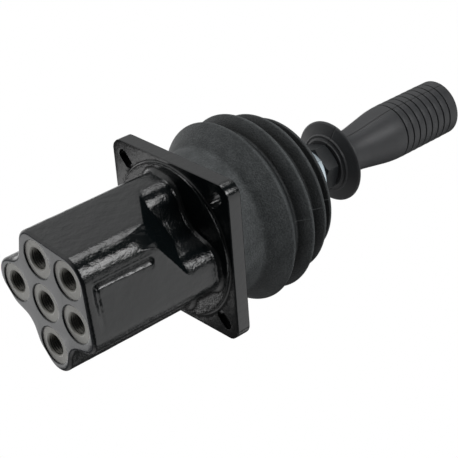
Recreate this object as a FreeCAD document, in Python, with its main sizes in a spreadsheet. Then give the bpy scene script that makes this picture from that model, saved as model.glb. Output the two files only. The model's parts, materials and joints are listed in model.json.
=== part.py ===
import FreeCAD, Part
import Sketcher
import math
import os
import re

# Hydraulic remote-control joystick: a cast valve body with six threaded ports, and a hand lever on a
# cardan joint under a rubber bellows, whose cam plate pushes one of four plungers down.
# Frame: millimetres, +Z along the lever, z = 0 on the flange face that seats on the panel, X and Y
# along the flange edges. Port axes are placed along a diagonal: "along" runs from the centre towards
# the supply port (the +X, -Y corner) and "across" is square to it.

SIZES = {
    # mounting flange and the raised pilot disc under it
    "flange_side": 97,
    "flange_thick": 9,
    "flange_corner": 8.5,
    "slot_spacing": 75,
    "slot_length": 12,
    "slot_width": 6.8,
    "pilot_radius": 45.9,
    "pilot_height": 2,
    # collar that the bellows clips onto and that holds the plunger bushes
    "collar_radius": 41.2,
    "collar_height": 11,
    "bead_low": 3.2,
    "bead_width": 3,
    "bead_depth": 1.6,
    # casting below the flange
    "body_depth": 89.2,
    "port_step_along": 16.5,
    "port_step_across": 19.8,
    "port_wall": 14,
    "nose_reach": 18.2,
    "nose_round": 15.9,
    "front_lobe_forward": 1.1,
    "front_lobe_reach": 20.5,
    "front_lobe_round": 10,
    "side_hollow_along": 2.4,
    "side_hollow_across": 7.9,
    "hollow_round": 12,
    "rear_reach": 13.3,
    "rear_lobe_reach": 23.5,
    "rear_lobe_round": 11.5,
    "rear_valley_half": 13,
    "rear_valley_depth": 6.3,
    "rim_round": 1.8,
    "root_round": 3,
    # pocket that gives a wrench room at the supply side slot
    "scoop_back": 24.8,
    "scoop_drop": 17.8,
    "scoop_slope": 48,
    "scoop_round": 20,
    "column_bury": 3,
    # shallow recess on the flat beside the nose
    "panel_low": 6.2,
    "panel_high": 46.2,
    "panel_start": 14,
    "panel_width": 28.5,
    "panel_depth": 1.5,
    "panel_fade": 0.15,
    "panel_round": 3,
    # G 1/4 ports
    "spot_radius": 11,
    "spot_depth": 1,
    "thread_minor_radius": 5.9,
    "thread_depth": 14,
    "thread_chamfer": 0.9,
    "passage_radius": 3.5,
    "supply_passage_top": 58.2,
    "tank_passage_top": 30.2,
    "port_overlap": 1.8,
    # plunger and spool bores
    "plunger_circle": 23,
    "bush_seat_depth": 18,
    "bush_radius": 8.5,
    "bush_head_radius": 10.4,
    "bush_head_depth": 3,
    "chamber_radius": 7.1,
    "chamber_floor": 38,
    "spool_bore_radius": 4.5,
    "hole_run_out": 1,
    # clearances
    "fit_gap": 0.05,
    "free_gap": 0.3,
    "cut_over": 2,
    # plate that keeps the bushes in, and its screws
    "plate_inset": 3.2,
    "plate_thick": 5,
    "screw_circle": 31,
    "screw_radius": 2.5,
    "screw_head_radius": 4.8,
    "screw_length": 15,
    "socket_flats": 3,
    "socket_depth": 2.4,
    # plungers with their seals, seats and springs
    "stem_radius": 4,
    "head_radius": 5,
    "head_height": 8,
    "head_chamfer": 1,
    "dome_land": 0.4,
    "head_gap": 0.5,
    "wiper_radius": 6.6,
    "wiper_height": 2.8,
    "seal_width": 1.4,
    "seal_height": 2,
    "seal_drop": 9,
    "seat_drop": 9.5,
    "seat_radius": 6.6,
    "seat_thick": 3,
    "seat_lip": 1,
    "spigot_radius": 3,
    "return_wire": 1.3,
    "return_coils": 5.5,
    "meter_wire": 1,
    "meter_coils": 5,
    "meter_radius": 3.7,
    # spools
    "spool_length": 38,
    "spool_floor_gap": 4,
    "spool_stem_radius": 2.3,
    "spool_stem_length": 12,
    "spool_neck_radius": 3.2,
    "spool_neck_length": 8,
    "spool_neck_low": 12,
    # cardan joint
    "pivot_height": 38,
    "ear_inner": 7.5,
    "ear_thick": 3.5,
    "ear_radius": 5.5,
    "pin_radius": 3,
    "base_disc_radius": 11,
    "base_disc_thick": 3,
    "base_neck_radius": 8,
    "base_stud_radius": 6,
    "base_stud_length": 16,
    "web_bury": 1,
    "block_height": 10,
    # lever above the joint
    "cam_rise": 12.5,
    "cam_radius": 31,
    "cam_thick": 6,
    "cam_edge": 1,
    "cam_taper": 10,
    "cam_taper_drop": 2,
    "crown_thick": 3.5,
    "crown_boss_radius": 9,
    "crown_boss_height": 10,
    "cam_nut_flats": 27,
    "cam_nut_height": 4,
    "rod_radius": 6,
    "rod_top": 150,
    "rod_chamfer": 1,
    "sleeve_radius": 12,
    "sleeve_foot": 84,
    "sleeve_flange": 2,
    "sleeve_flange_thick": 1.5,
    "lock_nut_low": 97,
    "lock_nut_height": 10,
    "lock_nut_flats": 27,
    "handle_nut_height": 10.7,
    "handle_nut_flats": 26,
    # handle
    "hub_radius": 15.3,
    "hub_step_radius": 17.6,
    "hub_step": 1.3,
    "guard_radius": 25.3,
    "guard_low": 122.6,
    "guard_edge": 1.9,
    "guard_round": 0.6,
    "neck_radius": 13,
    "neck_foot": 127.5,
    "neck_top": 140,
    "neck_flare": 2,
    "neck_flare_height": 1,
    "grip_radius": 17.7,
    "grip_foot": 171,
    "handle_top": 221.5,
    "handle_blend": 90,
    "handle_end_round": 2.2,
    "ring_count": 8,
    "ring_low": 174.7,
    "ring_pitch": 5.6,
    "ring_width": 0.8,
    "ring_depth": 0.9,
    "insert_radius": 8,
    "rod_end_gap": 1,
    # rubber bellows: outside radius of each fold and its rise above the one before it; the foot
    # follows the collar, and the folds start over the foot
    "bellows_wall": 2.4,
    "foot_rise": 18.5,
    "flare_reach": 3.6,
    "flare_rise": 4,
    "crest1_radius": 55.3,
    "crest1_rise": 9,
    "valley1_radius": 47,
    "valley1_rise": 8,
    "crest2_radius": 54.8,
    "crest2_rise": 8,
    "valley2_radius": 44,
    "valley2_rise": 7.5,
    "crest3_radius": 49.7,
    "crest3_rise": 7,
    "valley3_radius": 39.5,
    "valley3_rise": 5.5,
    "crest4_radius": 45.2,
    "crest4_rise": 5,
    "shoulder_radius": 29,
    "shoulder_rise": 5,
    "neck_rise": 3,
    "crest_round": 2.6,
    "valley_round": 1.8,
    "fold_slant": 1.2,
    "foot_lift": 0.6,
    "flare_lift": 0.8,
    "last_fold_inset": 5.6,
    "last_fold_drop": 0.4,
    "shoulder_inset": 1,
}

UP = FreeCAD.Vector(0, 0, 1)
DIAGONAL = -45  # turn from X to the "along" direction of the ports
HALF = math.sqrt(0.5)
NUT_TURN = 15  # where the nuts' first corners point, in degrees from X
MATCH = 0.01  # how closely an edge has to lie where it is looked for
STATIONS = {"right": (1, 0), "rear": (0, 1), "left": (-1, 0), "front": (0, -1)}

doc = FreeCAD.newDocument("joystick")
sheet = doc.addObject("Spreadsheet::Sheet", "sizes")
for row, (alias, value) in enumerate(SIZES.items(), start=1):
    sheet.set(f"A{row}", alias)
    sheet.set(f"B{row}", str(value))
    sheet.setAlias(f"B{row}", alias)
doc.recompute()

alias_word = re.compile(r"\b(" + "|".join(SIZES) + r")\b")


def ref(formula):
    """A formula in sheet names, such as flange_side / 2, as an expression of the document."""
    return alias_word.sub(r"sizes.\1", str(formula))


def size(formula):
    """The value of a formula in sheet names."""
    result = sheet.evalExpression(ref(formula))
    return float(getattr(result, "Value", result))


# Heights and radii that several pieces share, worked out from the sheet
collar_top = "(flange_thick + collar_height)"
plate_top = f"({collar_top} + plate_thick)"
bush_low = f"({collar_top} - bush_seat_depth)"
cam_low = "(pivot_height + cam_rise)"
cam_top = f"({cam_low} + cam_thick)"
ear_outer = "(ear_inner + ear_thick)"
head_top = f"({cam_low} - head_gap)"
seat_top = f"({bush_low} - seat_drop)"
seat_low = f"({seat_top} - seat_thick)"
seat_step = f"({seat_low} + seat_lip)"
spool_bore_floor = "(body_depth - spot_depth - thread_depth + port_overlap)"
spool_low = f"(-{spool_bore_floor} + spool_floor_gap)"
spool_shoulder = f"({spool_low} + spool_length)"
lock_nut_top = "(lock_nut_low + lock_nut_height)"
handle_low = f"({lock_nut_top} + free_gap + handle_nut_height)"
port_face = "(-body_depth)"
thread_floor = "(-body_depth + spot_depth + thread_depth)"
PORTS = {
    "tank": ("0", "0"),
    "supply": ("2 * port_step_along", "0"),
    "front_a": ("port_step_along", "port_step_across"),
    "front_b": ("port_step_along", "-port_step_across"),
    "rear_a": ("-port_step_along", "port_step_across"),
    "rear_b": ("-port_step_along", "-port_step_across"),
}


def new_body(label):
    body = doc.addObject("PartDesign::Body", label)
    body.Label = label
    return body


def new_sketch(body, plane, name, height="0", turn=None):
    """A sketch on one of the body's own origin planes, lifted by height and turned in place."""
    item = body.newObject("Sketcher::SketchObject", name)
    support = next(f for f in body.Origin.OriginFeatures if f.Role == plane)
    item.AttachmentSupport = (support, [""])
    item.MapMode = "FlatFace"
    if turn is not None:
        item.AttachmentOffset = FreeCAD.Placement(FreeCAD.Vector(), turn)
    item.setExpression("AttachmentOffset.Base.z", ref(height))
    return item


def pin_point(item, geometry, point, x, y):
    """Tie one point of a sketch to the sheet, measured from the sketch's origin."""
    for kind, formula in (("DistanceX", x), ("DistanceY", y)):
        index = item.addConstraint(Sketcher.Constraint(kind, -1, 1, geometry, point, size(formula)))
        item.setExpression(f"Constraints[{index}]", ref(formula))


def add_outline(item, corners):
    """A closed outline of straight runs through corners given as pairs of formulas."""
    spots = [FreeCAD.Vector(size(x), size(y), 0) for x, y in corners]
    first = item.GeometryCount
    for start, end in zip(spots, spots[1:] + spots[:1]):
        item.addGeometry(Part.LineSegment(start, end))
    for index, (x, y) in enumerate(corners):
        after = first + (index + 1) % len(corners)
        item.addConstraint(Sketcher.Constraint("Coincident", first + index, 2, after, 1))
        pin_point(item, first + index, 1, x, y)


def add_circle(item, x, y, radius):
    centre = FreeCAD.Vector(size(x), size(y), 0)
    geometry = item.addGeometry(Part.Circle(centre, UP, size(radius)))
    pin_point(item, geometry, 3, x, y)
    index = item.addConstraint(Sketcher.Constraint("Radius", geometry, size(radius)))
    item.setExpression(f"Constraints[{index}]", ref(radius))


def settle(body, feature, before=None):
    """Recompute a new feature and stop if it failed, or if it should have cut and didn't."""
    doc.recompute()
    if {"Invalid", "Error"} & set(feature.State) or feature.Shape.isNull():
        raise RuntimeError(f"{body.Label}: {feature.Label} failed")
    if before is not None and not feature.Shape.Volume < before - 1e-6:
        raise RuntimeError(f"{body.Label}: {feature.Label} cut nothing")
    return feature


def extrude(body, kind, item, length, name, back=False, both=False):
    """Pad or Pocket of a sketch; a Pocket has to take material away."""
    before = body.Shape.Volume if kind == "Pocket" else None
    feature = body.newObject(f"PartDesign::{kind}", name)
    feature.Profile = item
    feature.Reversed = back
    feature.Midplane = both
    feature.setExpression("Length", ref(length))
    return settle(body, feature, before)


def spin(body, item, name, kind="Revolution"):
    """Revolution or Groove of a sketch about its vertical axis."""
    before = body.Shape.Volume if kind == "Groove" else None
    feature = body.newObject(f"PartDesign::{kind}", name)
    feature.Profile = item
    feature.ReferenceAxis = (item, ["V_Axis"])
    feature.Angle = 360
    return settle(body, feature, before)


def polar(body, source, count, name):
    """Repeat one feature about the body's Z axis."""
    feature = body.newObject("PartDesign::PolarPattern", name)
    feature.Originals = [source]
    axis = next(f for f in body.Origin.OriginFeatures if f.Role == "Z_Axis")
    feature.Axis = (axis, [""])
    feature.Angle = 360
    feature.Occurrences = count
    body.Tip = feature
    return settle(body, feature)


def hexagon(flats, turn, x="0", y="0"):
    """Corners of a hexagon of this width across flats, its first corner at an angle in degrees."""
    reach = f"({flats}) / sqrt(3)"
    angles = range(turn, turn + 360, 60)
    return [(f"{x} + {reach} * cos({angle})", f"{y} + {reach} * sin({angle})") for angle in angles]


def dress(body, kind, wanted, amount, name):
    """Fillet or Chamfer on every edge of the tip for which wanted(edge) holds."""
    tip = body.Tip
    names = [f"Edge{i}" for i, edge in enumerate(tip.Shape.Edges, start=1) if wanted(edge)]
    if not names:
        raise RuntimeError(f"{body.Label}: {name} found no edge")
    feature = body.newObject(f"PartDesign::{kind}", name)
    feature.Base = (tip, names)
    feature.setExpression("Radius" if kind == "Fillet" else "Size", ref(amount))
    return settle(body, feature)


def middle(edge):
    return edge.valueAt((edge.FirstParameter + edge.LastParameter) / 2)


def near(value, formula):
    return abs(value - size(formula)) < MATCH


def round_edge(edge, radius, height):
    """True for a circle about the Z axis with this radius at this height."""
    if not isinstance(edge.Curve, Part.Circle):
        return False
    centre = edge.Curve.Center
    on_axis = math.hypot(centre.x, centre.y) < MATCH
    return on_axis and near(edge.Curve.Radius, radius) and near(centre.z, height)


def upright_at(edge, along, across):
    """True for a vertical edge that stands at this place of the port pattern."""
    box = edge.BoundBox
    if box.XLength > MATCH or box.YLength > MATCH:
        return False
    point = middle(edge)
    place = ((point.x - point.y) * HALF, (point.x + point.y) * HALF)
    return near(place[0], along) and near(place[1], across)


def turned_piece(label, profile, base=("0", "0")):
    """A body of revolution about its own Z axis, standing at base."""
    body = new_body(label)
    item = new_sketch(body, "XZ_Plane", f"{label}_profile")
    add_outline(item, profile)
    spin(body, item, f"{label}_turned")
    for axis, formula in zip("xy", base):
        body.setExpression(f"Placement.Base.{axis}", ref(formula))
    return body


def station_base(station):
    """Where a plunger station stands, as a pair of formulas."""
    return tuple(f"{sign} * plunger_circle" for sign in STATIONS[station])


def on_diagonal():
    return FreeCAD.Rotation(UP, DIAGONAL)


# The valve body casting: the corners of its outline below the flange, with their rounds
front_lobe_along = "port_step_along + front_lobe_forward"
rear_along = "-port_step_along - rear_reach"
body_outline = {
    "nose": ("2 * port_step_along + nose_reach", "0", "nose_round"),
    "front_a": (front_lobe_along, "port_step_across + front_lobe_reach", "front_lobe_round"),
    "side_a": ("-side_hollow_along", "port_step_across + side_hollow_across", "hollow_round"),
    "rear_a": (rear_along, "port_step_across + rear_lobe_reach", "rear_lobe_round"),
    "valley_a": (rear_along, "rear_valley_half", "hollow_round"),
    "valley": (f"{rear_along} + rear_valley_depth", "0", "hollow_round"),
    "valley_b": (rear_along, "-rear_valley_half", "hollow_round"),
    "rear_b": (rear_along, "-port_step_across - rear_lobe_reach", "rear_lobe_round"),
    "side_b": ("-side_hollow_along", "-port_step_across - side_hollow_across", "hollow_round"),
    "front_b": (front_lobe_along, "-port_step_across - front_lobe_reach", "front_lobe_round"),
}
nose_u = f"({body_outline['nose'][0]})"
lobe_u, lobe_t = (f"({formula})" for formula in body_outline["front_a"][:2])
flat_run = f"sqrt(({nose_u} - {lobe_u}) ^ 2 + {lobe_t} ^ 2)"
flat_cos = f"(({lobe_u} - {nose_u}) / {flat_run})"
flat_sin = f"({lobe_t} / {flat_run})"


def cast_core(body):
    """The column below the flange, with the lobes around the six ports."""
    item = new_sketch(body, "XY_Plane", "core_outline", port_face, on_diagonal())
    add_outline(item, [corner[:2] for corner in body_outline.values()])
    extrude(body, "Pad", item, "body_depth", "core")
    for name, (along, across, radius) in body_outline.items():
        dress(body, "Fillet", lambda edge: upright_at(edge, along, across), radius, f"core_round_{name}")


def wrench_scoop(body):
    """The slanted pocket at the supply side; the two front columns stand in it, with a waist between."""
    tilt = FreeCAD.Rotation(FreeCAD.Vector(0, 1, 0), DIAGONAL)
    item = new_sketch(body, "XZ_Plane", "scoop_profile", turn=tilt)
    reach = f"({nose_u} + cut_over)"
    low = f"-scoop_drop - ({reach} - scoop_back) * tan(scoop_slope)"
    corners = [("scoop_back", "-scoop_drop"), (reach, low), (reach, "cut_over"), ("scoop_back", "cut_over")]
    add_outline(item, corners)
    width = f"2 * (port_step_across + port_wall * ({nose_u} - {lobe_u}) / {flat_run})"
    extrude(body, "Pocket", item, width, "scoop", both=True)
    stand_out = "(port_step_along + port_wall - scoop_back)"
    depth = f"scoop_drop + {stand_out} * tan(scoop_slope) + column_bury"
    columns = new_sketch(body, "XY_Plane", "column_outline", "0", on_diagonal())
    add_circle(columns, "port_step_along", "port_step_across", "port_wall")
    add_circle(columns, "port_step_along", "-port_step_across", "port_wall")
    extrude(body, "Pad", columns, depth, "columns", back=True)
    back = size("scoop_back")

    def waist(edge):
        point = middle(edge)
        upright = edge.BoundBox.ZLength > MATCH and edge.BoundBox.XLength < MATCH
        return upright and abs((point.x - point.y) * HALF - back) < MATCH and point.z > -size("scoop_drop")

    dress(body, "Fillet", waist, "scoop_round", "scoop_waist")


def flange_plate(body):
    """Square flange with its slots, the pilot disc under it and the bellows collar over it."""
    item = new_sketch(body, "XY_Plane", "flange_outline")
    half = "flange_side / 2"
    add_outline(item, [(half, half), (f"-{half}", half), (f"-{half}", f"-{half}"), (half, f"-{half}")])
    extrude(body, "Pad", item, "flange_thick", "flange")
    reach = size(half)

    def corner(edge):
        point = middle(edge)
        upright = edge.BoundBox.ZLength > MATCH and edge.BoundBox.XLength < MATCH
        return upright and abs(abs(point.x) - reach) < MATCH and abs(abs(point.y) - reach) < MATCH

    dress(body, "Fillet", corner, "flange_corner", "flange_corners")
    pilot = new_sketch(body, "XY_Plane", "pilot_outline")
    add_circle(pilot, "0", "0", "pilot_radius")
    extrude(body, "Pad", pilot, "pilot_height", "pilot", back=True)
    collar = new_sketch(body, "XY_Plane", "collar_outline", "flange_thick")
    add_circle(collar, "0", "0", "collar_radius")
    extrude(body, "Pad", collar, "collar_height", "collar")
    groove = new_sketch(body, "XZ_Plane", "bead_groove_profile")
    low, high = "flange_thick + bead_low", "flange_thick + bead_low + bead_width"
    inner, outer = "collar_radius - bead_depth", "collar_radius + cut_over"
    add_outline(groove, [(inner, low), (outer, low), (outer, high), (inner, high)])
    spin(body, groove, "bead_groove", "Groove")
    above, through = "flange_thick + cut_over", "flange_thick + pilot_height + 2 * cut_over"
    slot = new_sketch(body, "XY_Plane", "slot_outline", above, on_diagonal())
    centre = "(slot_spacing * sqrt(2) / 2)"
    straight = "(slot_length - slot_width) / 2"
    add_outline(
        slot,
        [
            (f"{centre} - {straight}", "-slot_width / 2"),
            (f"{centre} + {straight}", "-slot_width / 2"),
            (f"{centre} + {straight}", "slot_width / 2"),
            (f"{centre} - {straight}", "slot_width / 2"),
        ],
    )
    cut = extrude(body, "Pocket", slot, through, "slot")
    polar(body, cut, 4, "slots")
    for end in ("-", "+"):
        round_end = new_sketch(body, "XY_Plane", "slot_end", above, on_diagonal())
        add_circle(round_end, f"{centre} {end} {straight}", "0", "slot_width / 2")
        cut = extrude(body, "Pocket", round_end, through, "slot_round")
        polar(body, cut, 4, "slot_rounds")


def cast_rounds(body):
    """Rounded edges that the sand mould leaves."""
    scoop_edge = size("scoop_back") - MATCH
    pilot_edge = size("pilot_radius") - MATCH

    def rim(edge):
        box = edge.BoundBox
        return box.ZLength < MATCH and near(box.ZMin, port_face)

    def root(edge):
        box = edge.BoundBox
        flat = box.ZLength < MATCH and near(box.ZMin, "-pilot_height")
        point = middle(edge)
        inside = math.hypot(point.x, point.y) < pilot_edge
        return flat and inside and (point.x - point.y) * HALF < scoop_edge

    dress(body, "Fillet", rim, "rim_round", "port_face_rim")
    dress(body, "Fillet", root, "root_round", "flange_root")


def side_panel(body):
    """Shallow recess on the flat beside the nose: deepest at the nose, and it fades out at the lobe."""
    item = new_sketch(body, "XY_Plane", "panel_outline", f"{port_face} + panel_low", on_diagonal())

    def place(run, proud):
        along = f"({nose_u} + ({run}) * {flat_cos} + ({proud}) * {flat_sin})"
        across = f"(({run}) * {flat_sin} - ({proud}) * {flat_cos})"
        return along, across

    start, end = "panel_start", "panel_start + panel_width"
    places = [(start, "-panel_depth"), (end, "-panel_fade"), (end, "cut_over"), (start, "cut_over")]
    add_outline(item, [place(run, proud) for run, proud in places])
    extrude(body, "Pocket", item, "panel_high - panel_low", "panel", back=True)
    low, high = size(f"{port_face} + panel_low"), size(f"{port_face} + panel_high")
    nose_end = (size(place(start, "0")[0]), size(place(start, "0")[1]))
    depth = size("panel_depth")

    def corner(edge):
        point = middle(edge)
        if abs(point.z - low) > MATCH and abs(point.z - high) > MATCH:
            return False
        spot = ((point.x - point.y) * HALF, (point.x + point.y) * HALF)
        return edge.Length < 1.2 * depth and math.dist(spot, nose_end) < depth

    dress(body, "Fillet", corner, "panel_round", "panel_corners")


def ports(body):
    """Six G 1/4 ports: spot face, thread hole with its chamfer, and the passages behind them."""
    spots = new_sketch(body, "XY_Plane", "spot_faces_outline", port_face, on_diagonal())
    for along, across in PORTS.values():
        add_circle(spots, along, across, "spot_radius")
    extrude(body, "Pocket", spots, "spot_depth", "spot_faces", back=True)
    threads = new_sketch(body, "XY_Plane", "threads_outline", port_face, on_diagonal())
    for along, across in PORTS.values():
        add_circle(threads, along, across, "thread_minor_radius")
    extrude(body, "Pocket", threads, "spot_depth + thread_depth", "thread_holes", back=True)
    radius = size("thread_minor_radius")
    mouth = size(f"{port_face} + spot_depth")

    def lip(edge):
        is_round = isinstance(edge.Curve, Part.Circle) and abs(edge.Curve.Radius - radius) < MATCH
        return is_round and abs(edge.Curve.Center.z - mouth) < MATCH

    dress(body, "Chamfer", lip, "thread_chamfer", "thread_chamfers")
    for name in ("tank", "supply"):
        passage = new_sketch(body, "XY_Plane", f"{name}_passage_outline", thread_floor, on_diagonal())
        add_circle(passage, *PORTS[name], "passage_radius")
        length = f"-{name}_passage_top - {thread_floor}"
        extrude(body, "Pocket", passage, length, f"{name}_passage", back=True)


def valve_bores(body):
    """Stepped bores for bushes, springs and spools, the joint's stud hole and the screw holes."""
    steps = {
        "bush_head": ("bush_head_radius + fit_gap", "bush_head_depth"),
        "bush_seat": ("bush_radius", "bush_seat_depth"),
        "chamber": ("chamber_radius", f"{collar_top} + chamber_floor"),
        "spool_bore": ("spool_bore_radius", f"{collar_top} + {spool_bore_floor}"),
    }
    for name, (radius, depth) in steps.items():
        item = new_sketch(body, "XY_Plane", f"{name}_outline", collar_top)
        add_circle(item, "plunger_circle", "0", radius)
        cut = extrude(body, "Pocket", item, depth, name)
        polar(body, cut, 4, f"{name}s")
    stud = new_sketch(body, "XY_Plane", "stud_hole_outline", collar_top)
    add_circle(stud, "0", "0", "base_stud_radius + fit_gap")
    extrude(body, "Pocket", stud, "base_stud_length + hole_run_out", "stud_hole")
    tapped = new_sketch(body, "XY_Plane", "screw_hole_outline", collar_top, on_diagonal())
    add_circle(tapped, "screw_circle", "0", "screw_radius + fit_gap")
    cut = extrude(body, "Pocket", tapped, "screw_length - plate_thick + hole_run_out", "screw_hole")
    polar(body, cut, 4, "screw_holes")


def valve_body():
    body = new_body("valve_body")
    cast_core(body)
    wrench_scoop(body)
    flange_plate(body)
    cast_rounds(body)
    side_panel(body)
    ports(body)
    valve_bores(body)


# Plunger parts in the casting
def guide_bush(station):
    outer, head = "bush_radius - fit_gap", "bush_head_radius"
    bore = "stem_radius + fit_gap"
    under_head = f"{collar_top} - bush_head_depth"
    pocket_floor = f"{collar_top} - wiper_height - fit_gap"
    groove_top, groove_low = f"{collar_top} - seal_drop + seal_height", f"{collar_top} - seal_drop"
    groove = "bush_radius - seal_width"
    turned_piece(
        f"guide_bush_{station}",
        [
            (bore, bush_low),
            (outer, bush_low),
            (outer, groove_low),
            (groove, groove_low),
            (groove, groove_top),
            (outer, groove_top),
            (outer, under_head),
            (head, under_head),
            (head, collar_top),
            ("wiper_radius + fit_gap", collar_top),
            ("wiper_radius + fit_gap", pocket_floor),
            (bore, pocket_floor),
        ],
        station_base(station),
    )


def ring_set(label, inner, outer, low, high):
    """Four equal rings, one at each plunger station, as one set."""
    body = new_body(label)
    body.AllowCompound = True
    item = new_sketch(body, "XY_Plane", f"{label}_outline", low)
    add_circle(item, "plunger_circle", "0", outer)
    add_circle(item, "plunger_circle", "0", inner)
    ring = extrude(body, "Pad", item, f"{high} - ({low})", f"{label}_ring")
    polar(body, ring, 4, f"{label}_set")


def bush_seals():
    low = f"{collar_top} - seal_drop + fit_gap"
    high = f"{collar_top} - seal_drop + seal_height - fit_gap"
    ring_set("bush_seals", "bush_radius - seal_width + fit_gap", "bush_radius - fit_gap", low, high)


def plunger_wipers():
    low = f"{collar_top} - wiper_height"
    ring_set("plunger_wipers", "stem_radius + fit_gap", "wiper_radius", low, collar_top)


def plunger(station):
    """Push rod with a domed head under the cam plate and a spigot for its spring seat."""
    body = turned_piece(
        f"plunger_{station}",
        [
            ("0", seat_low),
            ("spigot_radius", seat_low),
            ("spigot_radius", seat_top),
            ("stem_radius", seat_top),
            ("stem_radius", f"{head_top} - head_height"),
            ("head_radius", f"{head_top} - head_height + head_chamfer"),
            ("head_radius", head_top),
            ("0", head_top),
        ],
        station_base(station),
    )

    def crown(edge):
        return round_edge(edge, "head_radius", head_top)

    dress(body, "Fillet", crown, "head_radius - dome_land", f"plunger_{station}_dome")


def spring_seat(station):
    turned_piece(
        f"spring_seat_{station}",
        [
            ("spigot_radius + fit_gap", seat_low),
            ("meter_radius + meter_wire", seat_low),
            ("meter_radius + meter_wire", seat_step),
            ("seat_radius", seat_step),
            ("seat_radius", seat_top),
            ("spigot_radius + fit_gap", seat_top),
        ],
        station_base(station),
    )


def spool(station):
    """Metering spool with its waist, and the stem that the metering spring sits around."""
    land = "spool_bore_radius - fit_gap"
    waist_low = f"{spool_low} + spool_neck_low"
    turned_piece(
        f"spool_{station}",
        [
            ("0", spool_low),
            (land, spool_low),
            (land, waist_low),
            ("spool_neck_radius", waist_low),
            ("spool_neck_radius", f"{waist_low} + spool_neck_length"),
            (land, f"{waist_low} + spool_neck_length"),
            (land, spool_shoulder),
            ("spool_stem_radius", spool_shoulder),
            ("spool_stem_radius", f"{spool_shoulder} + spool_stem_length"),
            ("0", f"{spool_shoulder} + spool_stem_length"),
        ],
        station_base(station),
    )


def coil_spring(label, station, mean_radius, wire, coils, low, high):
    """Compression spring of mitred runs: a square wire carried along a stepped helix."""
    steps_per_coil = 10
    steps = round(coils * steps_per_coil)
    rise = (high - low - wire) / steps
    turn = 2 * math.pi / steps_per_coil
    path_points = []
    for step in range(steps + 1):
        flat = FreeCAD.Vector(math.cos(step * turn), math.sin(step * turn), 0) * mean_radius
        path_points.append(flat + UP * (wire / 2 + step * rise))
    forward = (path_points[1] - path_points[0]).normalize()
    upward = forward.cross(FreeCAD.Vector(1, 0, 0)).normalize()
    outward = upward.cross(forward)
    corners = []
    for right, above in ((1, 1), (-1, 1), (-1, -1), (1, -1)):
        corners.append(path_points[0] + outward * (right * wire / 2) + upward * (above * wire / 2))
    section = Part.makePolygon(corners + corners[:1])
    mitred = 1
    feature = doc.addObject("Part::Feature", label)
    feature.Label = label
    feature.Shape = Part.makePolygon(path_points).makePipeShell([section], True, False, mitred)
    x, y = (size(formula) for formula in station_base(station))
    feature.Placement = FreeCAD.Placement(FreeCAD.Vector(x, y, low), FreeCAD.Rotation())


def return_spring(station):
    gap = size("fit_gap")
    mean = size("chamber_radius - free_gap - return_wire / 2") - gap
    low, high = size("-chamber_floor") + gap, size(seat_step) - gap
    label = f"return_spring_{station}"
    coil_spring(label, station, mean, size("return_wire"), size("return_coils"), low, high)


def metering_spring(station):
    gap = size("fit_gap")
    low, high = size(spool_shoulder) + gap, size(seat_low) - gap
    label = f"metering_spring_{station}"
    coil_spring(label, station, size("meter_radius"), size("meter_wire"), size("meter_coils"), low, high)


def at_screw(item):
    """Move a turned profile's axis from the centre to the first screw."""
    item.setExpression("AttachmentOffset.Base.x", ref("screw_circle * cos(45)"))
    item.setExpression("AttachmentOffset.Base.z", ref("-screw_circle * sin(45)"))


def retainer_plate():
    """Steel plate that keeps the bushes and wipers in and that the cardan joint clamps down."""
    body = new_body("retainer_plate")
    item = new_sketch(body, "XY_Plane", "plate_outline", collar_top)
    add_circle(item, "0", "0", "collar_radius - plate_inset")
    add_circle(item, "0", "0", "base_neck_radius + fit_gap")
    for x, y in STATIONS.values():
        add_circle(item, f"{x} * plunger_circle", f"{y} * plunger_circle", "stem_radius + free_gap")
    extrude(body, "Pad", item, "plate_thick", "plate")
    sink = new_sketch(body, "XZ_Plane", "screw_sink_profile")
    drop = "(screw_head_radius - screw_radius)"
    wide, narrow = "screw_head_radius + fit_gap", "screw_radius + fit_gap"
    corners = [("0", collar_top), (narrow, collar_top), (narrow, f"{plate_top} - {drop}")]
    add_outline(sink, corners + [(wide, plate_top), ("0", plate_top)])
    at_screw(sink)
    cut = spin(body, sink, "screw_sink", "Groove")
    polar(body, cut, 4, "screw_sinks")


def retainer_screws():
    """Four countersunk screws with hexagon sockets, flush with the plate."""
    body = new_body("retainer_screws")
    body.AllowCompound = True
    item = new_sketch(body, "XZ_Plane", "screw_profile")
    drop = "(screw_head_radius - screw_radius)"
    low = f"{plate_top} - screw_length"
    corners = [("0", low), ("screw_radius", low), ("screw_radius", f"{plate_top} - {drop}")]
    corners += [("screw_head_radius", plate_top), ("0", plate_top)]
    add_outline(item, corners)
    at_screw(item)
    screw = spin(body, item, "screw")
    polar(body, screw, 4, "screws")
    sockets = new_sketch(body, "XY_Plane", "sockets_outline", plate_top, on_diagonal())
    for turn in range(0, 360, 90):
        centre = f"screw_circle * cos({turn})", f"screw_circle * sin({turn})"
        add_outline(sockets, hexagon("socket_flats", turn, *centre))
    extrude(body, "Pocket", sockets, "socket_depth", "sockets")


# Cardan joint
def fork_ears(body, plane, label, low, high):
    """Two ears at equal distance from the axis, with a round end about the pivot and a pin hole."""
    for side, name in ((1, "first"), (-1, "second")):
        start = "ear_inner" if side > 0 else f"-{ear_outer}"
        ear = new_sketch(body, plane, f"{label}_{name}_ear", start)
        left, right = "-ear_radius", "ear_radius"
        add_outline(ear, [(left, low), (right, low), (right, high), (left, high)])
        extrude(body, "Pad", ear, "ear_thick", f"{label}_{name}_web")
        eye = new_sketch(body, plane, f"{label}_{name}_eye", start)
        add_circle(eye, "0", "pivot_height", "ear_radius")
        extrude(body, "Pad", eye, "ear_thick", f"{label}_{name}_boss")
    hole = new_sketch(body, plane, f"{label}_pin_hole")
    add_circle(hole, "0", "pivot_height", "pin_radius + fit_gap")
    through = f"2 * {ear_outer} + 2 * cut_over"
    extrude(body, "Pocket", hole, through, f"{label}_pin_holes", both=True)


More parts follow.
